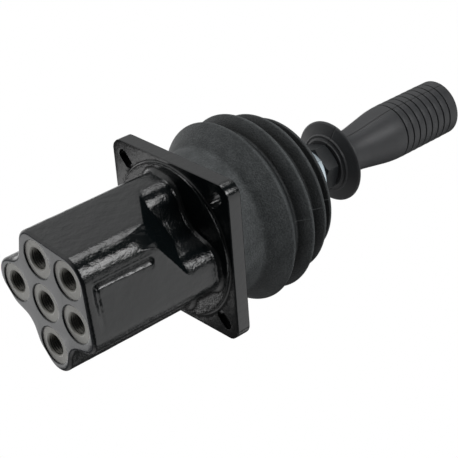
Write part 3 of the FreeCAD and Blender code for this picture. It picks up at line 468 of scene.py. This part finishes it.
def makeTurningTree():
    # turns a profile, drawn flat as an edge line, about the Z axis
    tree, given = newGeometryTree("turning", {
        "Segments": "NodeSocketInt", "Hub": "NodeSocketFloat", "Finish": "NodeSocketMaterial"})
    path = addNode(tree, "GeometryNodeCurvePrimitiveCircle", {"Resolution": given["Segments"],
                                                              "Radius": given["Hub"]})
    profile = addNode(tree, "GeometryNodeMeshToCurve", {"Mesh": given["Geometry"]})
    skin = addNode(tree, "GeometryNodeCurveToMesh", {"Curve": path.outputs[0],
                                                     "Profile Curve": profile.outputs[0]})
    closed = addNode(tree, "GeometryNodeMergeByDistance", {"Geometry": skin.outputs[0],
                                                           "Distance": mergeAt})
    dressed = addNode(tree, "GeometryNodeSetMaterial", {"Geometry": closed.outputs[0],
                                                        "Material": given["Finish"]})
    addNode(tree, "NodeGroupOutput", {"Geometry": dressed.outputs[0]})
    return tree


def makePortTree():
    # one copy of the threaded port at each point of a cloud
    tree, given = newGeometryTree("portPattern", {
        "Port": "NodeSocketObject", "Turn": "NodeSocketFloat", "Finish": "NodeSocketMaterial"})
    spots = addNode(tree, "GeometryNodeMeshToPoints", {"Mesh": given["Geometry"]})
    port = addNode(tree, "GeometryNodeObjectInfo", {"Object": given["Port"]})
    turn = addNode(tree, "ShaderNodeCombineXYZ", {"Z": given["Turn"]})
    copies = addNode(tree, "GeometryNodeInstanceOnPoints", {
        "Points": spots.outputs[0], "Instance": port.outputs["Geometry"], "Rotation": turn.outputs[0]})
    real = addNode(tree, "GeometryNodeRealizeInstances", {"Geometry": copies.outputs[0]})
    dressed = addNode(tree, "GeometryNodeSetMaterial", {"Geometry": real.outputs[0],
                                                        "Material": given["Finish"]})
    addNode(tree, "NodeGroupOutput", {"Geometry": dressed.outputs[0]})
    return tree


turningTree = makeTurningTree()
portTree = makePortTree()


def turnedPiece(name, line, finish, segments, closed=True):
    # a turned piece from a line of (radius, height) points in millimetres
    hub = 10  # radius of the circle that carries the profile
    points = [((radius - hub) * mm, -height * mm, 0) for radius, height in line]
    edges = [(i, i + 1) for i in range(len(points) - 1)]
    if closed:
        edges.append((len(points) - 1, 0))
    piece = linkPiece(name, meshFrom(name, points, edges, []))
    runTree(piece, turningTree, {"Segments": segments, "Hub": hub * mm, "Finish": materials[finish]})
    tidyMesh(piece)
    shadeByAngle(piece)
    return piece


# The casting

portMounts = [mount for mount in record["mounts"] if mount["kind"] == "threaded_hole"]
portSpots = [Vector(mount["pos_m"][:2]).to_3d() for mount in portMounts]
port = {
    # a G 1/4 port with its spot face; the flank is how steeply the thread's groove closes
    "spotRadius": 11, "spotDepth": 0.65, "ringThick": 1.6, "minorRadius": 5.9, "chamfer": 1.25,
    "chamferDepth": 0.7, "threadLength": 13.6, "pitch": 1.337, "threadDepth": 0.72, "flank": 2.3,
    "wall": 7.6, "passage": 3.5, "fit": 0.01, "turn": 40, "segments": 72, "rowsPerTurn": 8, "sharpFrom": 28,
    # how far the cutter stands out of the face and past the thread, and its segments
    "cutOver": 3, "cutPast": 1, "cutSegments": 96,
}


def steppedCutter():
    # the space that each port piece fills: spot face, ring seat and thread bore
    floor = portFace + port["spotDepth"]
    start, seat = portFace - port["cutOver"], floor + port["ringThick"]
    end = floor + port["threadLength"] + port["cutPast"]
    line = [(0, start), (port["spotRadius"], start), (port["spotRadius"], seat), (port["wall"], seat),
            (port["wall"], end), (0, end)]
    cutter = turnedPiece("portCutter", line, "milledIron", port["cutSegments"], closed=False)
    cloud = linkPiece("portCutters", meshFrom("portCutters", portSpots, [], []))
    runTree(cloud, portTree, {"Port": cutter, "Turn": 0.0, "Finish": materials["milledIron"]})
    bpy.data.objects.remove(cutter)
    return cloud


nose = {
    # the rounded end under the scoop: its centre along the diagonal, its radius, where the scoop's
    # slope starts and how steep it is, and the round that rolls the tip into the slope
    "centre": 30.5, "radius": 15.9, "slopeAlong": 24.8, "slopeHeight": -17.8, "slope": 48, "roll": 32,
    "rollFull": 14, "rollEnd": 31,
}


def diagonal(point):
    # millimetres along the diagonal through the nose, and across it
    return (point.x - point.y) / math.sqrt(2) / mm, (point.x + point.y) / math.sqrt(2) / mm


def onProfile(value, points):
    # height of a profile line at this value, 0 beyond its ends
    for (start, low), (end, high) in zip(points, points[1:]):
        if start <= value < end:
            return low + (high - low) * (value - start) / (end - start)
    return 0


def eased(value, start, end):
    # 0 before the start, 1 after the end, and an S-shaped rise between them
    share = min(1, max(0, (value - start) / (end - start)))
    return share * share * (3 - 2 * share)


def rollNoseEdge(point):
    # moves a point of the nose's sharp edge onto a wide round, which fades out on both sides
    along, across = diagonal(point)
    out = math.hypot(along - nose["centre"], across)
    side = math.degrees(math.atan2(across, along - nose["centre"]))
    fade = eased(-abs(side), -nose["rollEnd"], -nose["rollFull"])
    if fade == 0 or along < nose["centre"]:
        return point.copy()
    steep = math.tan(math.radians(nose["slope"]))
    tipAlong = nose["centre"] + nose["radius"] * math.cos(math.radians(side))
    edge = nose["slopeHeight"] - (tipAlong - nose["slopeAlong"]) * steep
    turn = math.pi / 2 - math.atan(steep * math.cos(math.radians(side)))
    roll = nose["roll"] * fade
    middle = Vector((nose["radius"] - roll, edge - roll * math.tan(turn / 2)))
    reach = Vector((out, point.z / mm)) - middle
    angle = math.atan2(reach.y, reach.x)
    if not 0 < angle < turn or reach.length <= roll:
        return point.copy()
    inner = middle + reach.normalized() * roll
    along = nose["centre"] + (along - nose["centre"]) * inner.x / out
    across *= inner.x / out
    return Vector(((along + across) / math.sqrt(2), (across - along) / math.sqrt(2), inner.y)) * mm


panel = {
    # recess in the flat beside the nose. The flat runs from the corner where both flats would meet, past
    # the nose's round, to the lobe. The profile is (distance from that corner, height over the flat): a
    # lip and a groove along the nose, then a shallow floor that fades out. Only points whose distance
    # from the corner is in "runs", and whose height over the flat is in "near", are moved
    "turn": 39.8, "corner": 51.2, "noseEnd": 13.3, "flatEnd": 43.7, "lobe": 10, "low": -84.2, "high": -42,
    "groove": [(11.0, 0), (11.8, 0.25), (12.5, 0), (16.2, -1.65), (17.4, -0.64), (21, 0)],
    "floor": [(14, 0), (17, -0.9), (22, -1), (41, 0)],
    "end": [(0, 0), (3.2, 1.6), (4.8, 1), (60, 1)], "grooveEnd": (-46, -43.2), "floorEnd": (-66, -44),
    "runs": (11, 45), "near": (-2.8, 0.4),
}


def sinkPanel(point):
    # moves a point of the flat beside the nose onto the recess's floor
    turn = math.radians(panel["turn"])
    along, across = diagonal(point)
    (firstRun, lastRun), (lowest, highest) = panel["runs"], panel["near"]
    run = (panel["corner"] - along) * math.sin(turn) + across * math.cos(turn)
    proud = (along - panel["corner"]) * math.cos(turn) + across * math.sin(turn)
    height = point.z / mm
    if across < 0 or not firstRun < run < lastRun or not panel["low"] < height < panel["high"]:
        return point
    past = max(0, run - panel["flatEnd"])
    before = max(0, panel["noseEnd"] - run)
    flat = math.sqrt(panel["lobe"] ** 2 - past ** 2) - panel["lobe"]
    flat += math.sqrt(nose["radius"] ** 2 - before ** 2) - nose["radius"]
    if not lowest < proud - flat < highest:
        return point
    groove = onProfile(run, panel["groove"]) * (1 - eased(height, *panel["grooveEnd"]))
    floor = onProfile(run, panel["floor"]) * (1 - eased(height, *panel["floorEnd"]))
    lowered = min(groove, floor) if groove < 0 else groove + floor
    move = (flat + lowered * onProfile(height - panel["low"], panel["end"]) - proud) * mm
    out = Vector((math.cos(turn) + math.sin(turn), math.sin(turn) - math.cos(turn), 0)) / math.sqrt(2)
    return point + out * move


scoopEdge = {"reach": 5, "rounds": 40, "high": -8}


def softenScoopEdge(piece):
    # rounds the edges between the scoop's slope and the nose's two flats, within the reach and up to
    # the height where the slope ends
    near = piece.vertex_groups.new(name="scoopEdge")
    turn, slope = math.radians(panel["turn"]), math.radians(nose["slope"])
    for vertex in piece.data.vertices:
        spot = vertex.co / mm
        along, across = (spot.x - spot.y) / math.sqrt(2), abs(spot.x + spot.y) / math.sqrt(2)
        proud = (along - panel["corner"]) * math.cos(turn) + across * math.sin(turn)
        over = (spot.z - nose["slopeHeight"]) * math.cos(slope)
        over += (along - nose["slopeAlong"]) * math.sin(slope)
        weight = 1 - math.hypot(proud, over) / scoopEdge["reach"]
        if weight > 0 and spot.z < scoopEdge["high"]:
            near.add([vertex.index], min(1, 2 * weight), "REPLACE")
    applyModifier(piece, "SMOOTH", factor=0.5, iterations=scoopEdge["rounds"], vertex_group=near.name)
    piece.vertex_groups.clear()


casting = {
    "voxel": 0.445, "lumpSize": 3.2, "lumpStretch": 0.6, "lumpHeight": 0.05, "dentSize": 11,
    "dentHeight": 0.12, "keepShare": 0.24, "sharpFrom": 38,
    # lumps start this far over the port face, grow over this height, shrink to a share from this
    # height up, on the flange, and end on the collar
    "lumpStart": 1.2, "lumpGrow": 2, "flangeFrom": -2.2, "flangeShare": 0.3, "collarFloor": 9.5,
}


def makeCastBody():
    piece = linkPiece("castBody", cadNodes["valve_body"].data.copy())
    tidyMesh(piece, outward=False)
    applyModifier(piece, "REMESH", mode="VOXEL", voxel_size=casting["voxel"] * mm)
    applyModifier(piece, "SMOOTH", factor=0.5, iterations=1)
    softenScoopEdge(piece)
    # lumps of the sand mould, drawn out along Z
    faceTop = (portFace + casting["lumpStart"]) * mm
    stretch = Vector((1, 1, casting["lumpStretch"])) * perMetre(casting["lumpSize"])
    # normals are read before anything moves, because each move makes all of them out of date
    normals = [vertex.normal.copy() for vertex in piece.data.vertices]
    for vertex, out in zip(piece.data.vertices, normals):
        spot = sinkPanel(rollNoseEdge(vertex.co))
        if spot.z < faceTop or spot.z > casting["collarFloor"] * mm:
            continue
        share = min(1, (spot.z - faceTop) / (casting["lumpGrow"] * mm))
        if spot.z > casting["flangeFrom"] * mm:
            share *= casting["flangeShare"]
        lump = noise.noise(spot * stretch) * casting["lumpHeight"]
        dent = noise.noise(spot * perMetre(casting["dentSize"])) * casting["dentHeight"]
        vertex.co = spot + out * (lump + dent) * share * mm
    applyModifier(piece, "DECIMATE", ratio=casting["keepShare"])
    cutter = steppedCutter()
    applyModifier(piece, "BOOLEAN", operation="DIFFERENCE", solver="MANIFOLD", object=cutter)
    bpy.data.objects.remove(cutter)
    tidyMesh(piece, outward=False)
    shadeByAngle(piece, casting["sharpFrom"])
    finishPiece(piece, "housing", materials["castEnamel"])
    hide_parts("valve_body")
    print("castBody:", len(piece.data.polygons), "faces")


def portMesh():
    # spot-faced ring, chamfer and helical thread as one closed sleeve
    floor = portFace + port["spotDepth"]
    top = floor + port["threadLength"]
    turns = (port["threadLength"] - port["chamferDepth"]) / port["pitch"]
    rows = round(turns * port["rowsPerTurn"])
    outer, wall = port["spotRadius"] - port["fit"], port["wall"] - port["fit"]
    ringTop = floor + port["ringThick"] - port["fit"]
    # each row is radius, height and how much of the thread's depth shows there; three rows cross the
    # spot face, so that its rings stay even
    lines = [(wall, top, 0), (wall, ringTop, 0), (outer, ringTop, 0), (outer, floor, 0)]
    mouth = port["minorRadius"] + port["chamfer"]
    for share in (0.75, 0.5, 0.25):
        lines.append((mouth + (outer - mouth) * share, floor, 0))
    lines.append((mouth, floor, 0))
    for row in range(rows + 1):
        fade = min(1, row / port["rowsPerTurn"], (rows - row) / port["rowsPerTurn"])
        height = floor + port["chamferDepth"] + (top - floor - port["chamferDepth"]) * row / rows
        lines.append((port["minorRadius"], height, fade))
    lines.append((port["passage"], top, 0))
    count = port["segments"]
    points = []
    for radius, height, depth in lines:
        for step in range(count):
            share = (height / port["pitch"] - step / count) % 1
            groove = max(0, 1 - abs(share - 0.5) * port["flank"]) * port["threadDepth"] * depth
            angle = 2 * math.pi * step / count
            reach = (radius + groove) * mm
            points.append((reach * math.cos(angle), reach * math.sin(angle), height * mm))
    faces = []
    for row in range(len(lines)):
        here, there = row * count, (row + 1) % len(lines) * count
        for step in range(count):
            after = (step + 1) % count
            faces.append((here + step, here + after, there + after, there + step))
    mesh = meshFrom("portSleeve", points, [], faces)
    ringMap = mesh.uv_layers.new(name="ringMap")
    for loop in mesh.loops:
        spot = mesh.vertices[loop.vertex_index].co
        ringMap.data[loop.index].uv = (spot.z, math.hypot(spot.x, spot.y))
    return mesh


def makePortSleeves():
    proto = linkPiece("portSleeve", portMesh())
    tidyMesh(proto)
    shadeByAngle(proto, port["sharpFrom"])
    piece = linkPiece("portSleeves", meshFrom("portSleeves", portSpots, [], []))
    runTree(piece, portTree, {"Port": proto, "Turn": math.radians(port["turn"]),
                              "Finish": materials["milledIron"]})
    bpy.data.objects.remove(proto)
    finishPiece(piece, "housing", materials["milledIron"])
    print("portSleeves:", len(piece.data.polygons), "faces")


makeCastBody()
makePortSleeves()


# The bellows

bellows = {
    # outside corners of the boot: radius, height, round
    "outside": [
        (43.9, 9.3, 0.5), (43.9, 27.5, 5), (47.5, 31.5, 8), (54.85, 40.5, 1.6), (47, 48.5, 1.8),
        (54.35, 56.5, 1.6), (44, 64, 1.8), (49.3, 71, 1.6), (39.5, 76.5, 1.8), (44.0, 81.2, 1.6),
        (29, 86.5, 3), (14.7, 89.5, 2), (14.7, 96.7, 0.5),
    ],
    # the wall at the foot and, measured level, in the slanted folds; the roof's inside; the height where
    # the boot splits into its lower and upper halves, and two heights for each half
    "wall": 2.4, "slant": 2.9, "roof": [(28, 84.1, 1), (12.3, 87.1, 1)], "neckInner": 12.3,
    "outsideStep": 9, "insideStep": 15, "segments": 168, "sharpFrom": 50,
    "split": 64, "lowerStart": 28, "lowerEnd": 60, "upperStart": 66, "upperEnd": 90,
}


def splitLine(line, height, keepLow):
    # the run of an open line on one side of a height, with its crossing point added
    kept = []
    for here, there in zip(line, line[1:]):
        if (here.y <= height) == keepLow:
            kept.append(here)
        if (here.y <= height) != (there.y <= height):
            kept.append(here.lerp(there, (height - here.y) / (there.y - here.y)))
    if (line[-1].y <= height) == keepLow:
        kept.append(line[-1])
    return kept


def makeBellows():
    corners = bellows["outside"]
    foot, neck = corners[0], corners[-1]
    inner = [(foot[0] - bellows["wall"], foot[1], 0)]
    inner += [(r - bellows["slant"], z, rounding) for r, z, rounding in corners[1:-3]]
    inner += bellows["roof"] + [(bellows["neckInner"], neck[1], 0)]
    outer = [(foot[0] - bellows["wall"] / 2, foot[1], 0)] + corners
    outer.append((neck[0] - bellows["wall"] / 2, neck[1], 0))
    outsideLine = roundedLine(outer, bellows["outsideStep"])
    insideLine = roundedLine(inner, bellows["insideStep"])
    halves = {"bellowsLower": ("housing", "gimbal", True, bellows["lowerStart"], bellows["lowerEnd"]),
              "bellowsUpper": ("gimbal", "lever", False, bellows["upperStart"], bellows["upperEnd"])}
    for name, (below, above, keepLow, start, end) in halves.items():
        outside = splitLine(outsideLine, bellows["split"], keepLow)
        inside = splitLine(insideLine, bellows["split"], keepLow)
        piece = turnedPiece(name, outside + inside[::-1], "bellowsRubber", bellows["segments"])
        shadeByAngle(piece, bellows["sharpFrom"])
        finishPiece(piece, None, materials["bellowsRubber"])
        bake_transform(piece)
        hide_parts("bellows")
        print(name + ":", len(piece.data.polygons), "faces")


makeBellows()


# The coil springs under the plungers

coils = {
    # the share of its plunger's travel given for each spring's lower end: none on the casting's floor, and
    # a fifth on the spool
    "stations": ("right", "rear", "left", "front"), "lowerShare": {"return": 0, "metering": 0.2},
}


def makeCoils():
    # each spring's mesh is copied as a smooth-shaded coil in its place
    for station in coils["stations"]:
        for kind, share in coils["lowerShare"].items():
            node = f"{kind}_spring_{station}"
            piece = linkPiece(kind + "Coil" + station.capitalize(), cadNodes[node].data.copy())
            tidyMesh(piece, outward=False)
            shadeByAngle(piece)
            low, high = (Vector(corner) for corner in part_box(node))
            low.x = high.x = (low.x + high.x) / 2
            low.y = high.y = (low.y + high.y) / 2
            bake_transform(piece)
            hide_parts(node)
    print("coil springs:", 2 * len(coils["stations"]))


makeCoils()


# The nuts

nuts = {
    # size across flats, turn about Z, bore's radius, the turned face's share of the flats, the slope
    # that turns the corners off, the round of the edges and the angle from which an edge counts as one
    "zincLockNut": {
        "node": "lock_nut", "slot": "zinc", "finish": "zincPlate", "flats": 27, "turn": 15, "bore": 6.05,
        "faceShare": 0.96, "chamfer": 28, "edge": 0.18, "sharpFrom": 24, "segments": 96},
    "blackHandleNut": {
        "node": "handle_nut", "slot": "dark_steel", "finish": "blackOxide", "flats": 26, "turn": -16,
        "bore": 6.05, "faceShare": 0.96, "chamfer": 26, "edge": 0.18, "sharpFrom": 24, "segments": 96},
}


def makeHexNut(name, nut):
    # a hexagon whose corners are turned off, with a plain bore at the thread's core
    low, high = (corner.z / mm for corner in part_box(nut["node"]))
    reach = nut["flats"] / math.sqrt(3)
    hexagon = bmesh.new()
    rings = []
    for height in (low, high):
        ring = []
        for corner in range(6):
            angle = math.radians(nut["turn"] + 60 * corner)
            ring.append(hexagon.verts.new((reach * math.cos(angle) * mm, reach * math.sin(angle) * mm,
                                           height * mm)))
        rings.append(ring)
    hexagon.faces.new(rings[0][::-1])
    hexagon.faces.new(rings[1])
    for side in range(6):
        after = (side + 1) % 6
        hexagon.faces.new((rings[0][side], rings[0][after], rings[1][after], rings[1][side]))
    mesh = bpy.data.meshes.new(name)
    hexagon.to_mesh(mesh)
    hexagon.free()
    piece = linkPiece(name, mesh)
    face = nut["flats"] / 2 * nut["faceShare"]
    past = reach + 1  # the blank is wider than the hexagon's corners
    drop = (past - face) * math.tan(math.radians(nut["chamfer"]))
    blank = turnedPiece(name + "Blank", [
        (nut["bore"], low), (face, low), (past, low + drop), (past, high - drop),
        (face, high), (nut["bore"], high)], nut["finish"], nut["segments"])
    applyModifier(piece, "BOOLEAN", operation="INTERSECT", solver="EXACT", object=blank)
    applyModifier(piece, "BEVEL", width=nut["edge"] * mm, segments=3,
                  angle_limit=math.radians(nut["sharpFrom"]))
    bpy.data.objects.remove(blank)
    shadeByAngle(piece, nut["sharpFrom"])
    finishPiece(piece, "lever", materials[nut["finish"]])
    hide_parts(nut["node"])
    print(name + ":", len(piece.data.polygons), "faces")


for name, nut in nuts.items():
    makeHexNut(name, nut)


# The handle

handle = {
    # corners from the insert's bore over the hub, the dished guard and the neck: radius, height, round
    "hub": [
        (8, 118, 0), (12.6, 118, 0.3), (15.3, 118, 0.4), (15.3, 119, 0.3), (16.3, 119.6, 0.3),
        (17.6, 119.4, 0.5), (18.1, 120.6, 0.5), (24.4, 122.5, 0.5), (25.3, 123.2, 0.6),
        (25.3, 124.1, 0.5), (24.6, 124.6, 0.5), (15, 126.3, 1.5), (13, 128.5, 1.8),
    ],
    "waist": [(13, 138, 30), (13.6, 145, 40), (17.2, 166, 45), (17.7, 172.6, 12)],
    "grip": 17.7, "top": 221.5, "bore": 8, "boreTop": 151, "step": 12, "segments": 160,
    # the end's round, and how far under the top a ring of points keeps its shading from the flank
    "endRound": 0.58, "endHold": 1.2,
    # the rings: a groove's floor is a share of its mouth, and the bands between are slightly crowned
    "grooves": 8, "firstGroove": 174.7, "groovePitch": 5.61, "grooveWidth": 0.95, "grooveDepth": 0.95,
    "floorShare": 0.55, "floorRound": 0.15, "lipRound": 0.35, "crown": 0.12, "crownRound": 6,
}


def makeHandle():
    corners = handle["hub"] + handle["waist"]
    half, grip, floor = handle["grooveWidth"] / 2, handle["grip"], handle["grip"] - handle["grooveDepth"]
    floorHalf, floorRound, lip = half * handle["floorShare"], handle["floorRound"], handle["lipRound"]
    for groove in range(handle["grooves"]):
        middle = handle["firstGroove"] + groove * handle["groovePitch"]
        corners += [(grip, middle - half, lip), (floor, middle - floorHalf, floorRound),
                    (floor, middle + floorHalf, floorRound), (grip, middle + half, lip)]
        if groove < handle["grooves"] - 1:
            corners.append((grip + handle["crown"], middle + handle["groovePitch"] / 2,
                            handle["crownRound"]))
    top, boreTop = handle["top"], handle["boreTop"]
    corners += [(grip, top - handle["endHold"], 0), (grip, top, handle["endRound"]), (0, top, 0),
                (0, boreTop, 0), (handle["bore"], boreTop, 0)]
    line = roundedLine(corners, handle["step"], closed=True)
    piece = turnedPiece("handleGrip", line, "handlePlastic", handle["segments"])
    finishPiece(piece, "lever", materials["handlePlastic"])
    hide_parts("handle_grip")
    print("handleGrip:", len(piece.data.polygons), "faces")


makeHandle()


# Camera, studio and floor

camera = {
    # where the photograph was taken from, in the part's own frame, in millimetres
    "place": (572.835, -413.609, -443.252), "forward": (-0.66490, 0.49312, 0.56102),
    "up": (-0.32561, -0.86733, 0.37645), "lens": 117.54,
}
forward = Vector(camera["forward"]).normalized()
right = forward.cross(Vector(camera["up"])).normalized()
upward = right.cross(forward)


def makeCamera():
    data = bpy.data.cameras.new("photoCamera")
    data.lens = camera["lens"]
    data.sensor_width = 36
    data.clip_start = 0.01
    item = linkPiece("photoCamera", data)
    turn = Matrix((right, upward, -forward)).transposed()
    item.matrix_world = Matrix.Translation(Vector(camera["place"]) * mm) @ turn.to_4x4()
    bpy.context.scene.camera = item


studio = {
    # soft boxes: where each stands from the object's middle, seen from the camera (right, up, back),
    # then its width and height, all in metres, its brightness and the axis that its height follows
    "boxes": {
        "highBox": ((0.02, 0.95, 0.26), 0.36, 0.55, 4.4, Vector((0, 0, 1))),
        "sideBox": ((0.63, 0.36, 0.65), 0.36, 0.55, 8.5, Vector((0, 0, 1))),
        "tableCard": ((-0.587, -0.276, -0.212), 0.3, 0.165, 1.38, upward),
    },
    # broad glows of the tent: direction, cosine where each starts, cosine where it is full, brightness
    "glows": {
        "table": ((-0.20, -0.96, -0.20), 0.7, 1.0, 0.6),
        "rightFloor": ((0.94, -0.35, 0.0), 0.83, 0.94, 1.1),
        "backdrop": ((0.12, 0.88, -0.46), 0.8, 0.99, 0.52),
        "leftWall": ((-0.80, 0.58, 0.0), 0.5, 0.95, 0.9),
        "floorEdge": ((0.563, -0.542, -0.623), 0.99, 0.998, 0.8),
        "paper": ((-0.50, 0.08, -0.86), 0.82, 0.96, 1.3),
    },
    "room": 0.06,
}


def fromCamera(place):
    side, lift, back = place
    return right * side + upward * lift - forward * back


def makeLamps():
    centre = (Vector(cadBounds[0]) + Vector(cadBounds[1])) / 2
    for name, (place, width, height, brightness, axis) in studio["boxes"].items():
        data = bpy.data.lights.new(name, "AREA")
        data.shape = "RECTANGLE"
        data.size, data.size_y = width, height
        data.energy = brightness * math.pi * width * height
        item = linkPiece(name, data)
        item.location = centre + fromCamera(place)
        way = fromCamera(place).normalized()
        across = axis.cross(way).normalized()
        item.rotation_euler = Matrix((across, way.cross(across), way)).transposed().to_euler()


def makeWorld():
    # white behind the object for the camera; other rays see a dim tent with a few broad glows
    world = bpy.data.worlds.new("studioTent")
    bpy.context.scene.world = world
    world.use_nodes = True
    tree = world.node_tree
    tree.nodes.clear()
    way = addNode(tree, "ShaderNodeTexCoord").outputs["Generated"]
    total = None
    for place, edge, full, brightness in studio["glows"].values():
        along = addNode(tree, "ShaderNodeVectorMath", {0: way, 1: fromCamera(place).normalized()},
                        operation="DOT_PRODUCT")
        glow = addNode(tree, "ShaderNodeMapRange", {
            "Value": along.outputs["Value"], "From Min": edge, "From Max": full, "To Max": brightness},
            interpolation_type="SMOOTHSTEP")
        total = addNode(tree, "ShaderNodeMath", {0: glow.outputs[0], 1: total or studio["room"]},
                        operation="ADD").outputs[0]
    tent = addNode(tree, "ShaderNodeBackground", {"Color": (1, 1, 1, 1), "Strength": total})
    white = addNode(tree, "ShaderNodeBackground", {"Color": (1, 1, 1, 1), "Strength": 1})
    path = addNode(tree, "ShaderNodeLightPath")
    chosen = addNode(tree, "ShaderNodeMixShader", {0: path.outputs["Is Camera Ray"], 1: tent.outputs[0],
                                                   2: white.outputs[0]})
    addNode(tree, "ShaderNodeOutputWorld", {"Surface": chosen.outputs[0]})


def makeFloor():
    # pale floor under the ports, which turns white away from them; only a camera above it sees it, so
    # that it hides nothing from below. Its half width and the distances of the fade are metres
    floor = {"half": 1.5, "drop": 0.4, "pale": "#f4f4f4", "rough": 0.9, "near": 0.16, "far": 0.42}
    low = cadBounds[0][2] - floor["drop"] * mm
    size = floor["half"]
    corners = [(-size, -size, low), (size, -size, low), (size, size, low), (-size, size, low)]
    piece = linkPiece("studioFloor", meshFrom("studioFloor", corners, [], [(0, 1, 2, 3)]))
    tree, shader, place = newMaterial("paleFloor")
    setInputs(tree, shader, {"Base Color": hexColour(floor["pale"]), "Roughness": floor["rough"]})
    reach = addNode(tree, "ShaderNodeVectorMath", {0: place}, operation="LENGTH")
    outer = addNode(tree, "ShaderNodeMapRange", {"Value": reach.outputs["Value"], "From Min": floor["near"],
                                                 "From Max": floor["far"]}, interpolation_type="SMOOTHSTEP")
    white = addNode(tree, "ShaderNodeEmission", {"Color": (1, 1, 1, 1), "Strength": 1})
    faded = addNode(tree, "ShaderNodeMixShader", {0: outer.outputs[0], 1: shader.outputs[0],
                                                  2: white.outputs[0]})
    clear = addNode(tree, "ShaderNodeBsdfTransparent")
    path = addNode(tree, "ShaderNodeLightPath")
    side = addNode(tree, "ShaderNodeNewGeometry")
    fromAbove = addNode(tree, "ShaderNodeMath", {0: 1.0, 1: side.outputs["Backfacing"]},
                        operation="SUBTRACT")
    seen = addNode(tree, "ShaderNodeMath", {0: fromAbove.outputs[0], 1: path.outputs["Is Camera Ray"]},
                   operation="MULTIPLY")
    shown = addNode(tree, "ShaderNodeMixShader", {0: seen.outputs[0], 1: clear.outputs[0],
                                                  2: faded.outputs[0]})
    output = next(node for node in tree.nodes if node.type == "OUTPUT_MATERIAL")
    setInputs(tree, output, {"Surface": shown.outputs[0]})
    piece.data.materials.append(materials["paleFloor"])


makeCamera()
makeLamps()
makeWorld()
makeFloor()
bpy.context.scene.view_settings.view_transform = "Standard"
print("camera, lamps and floor set")
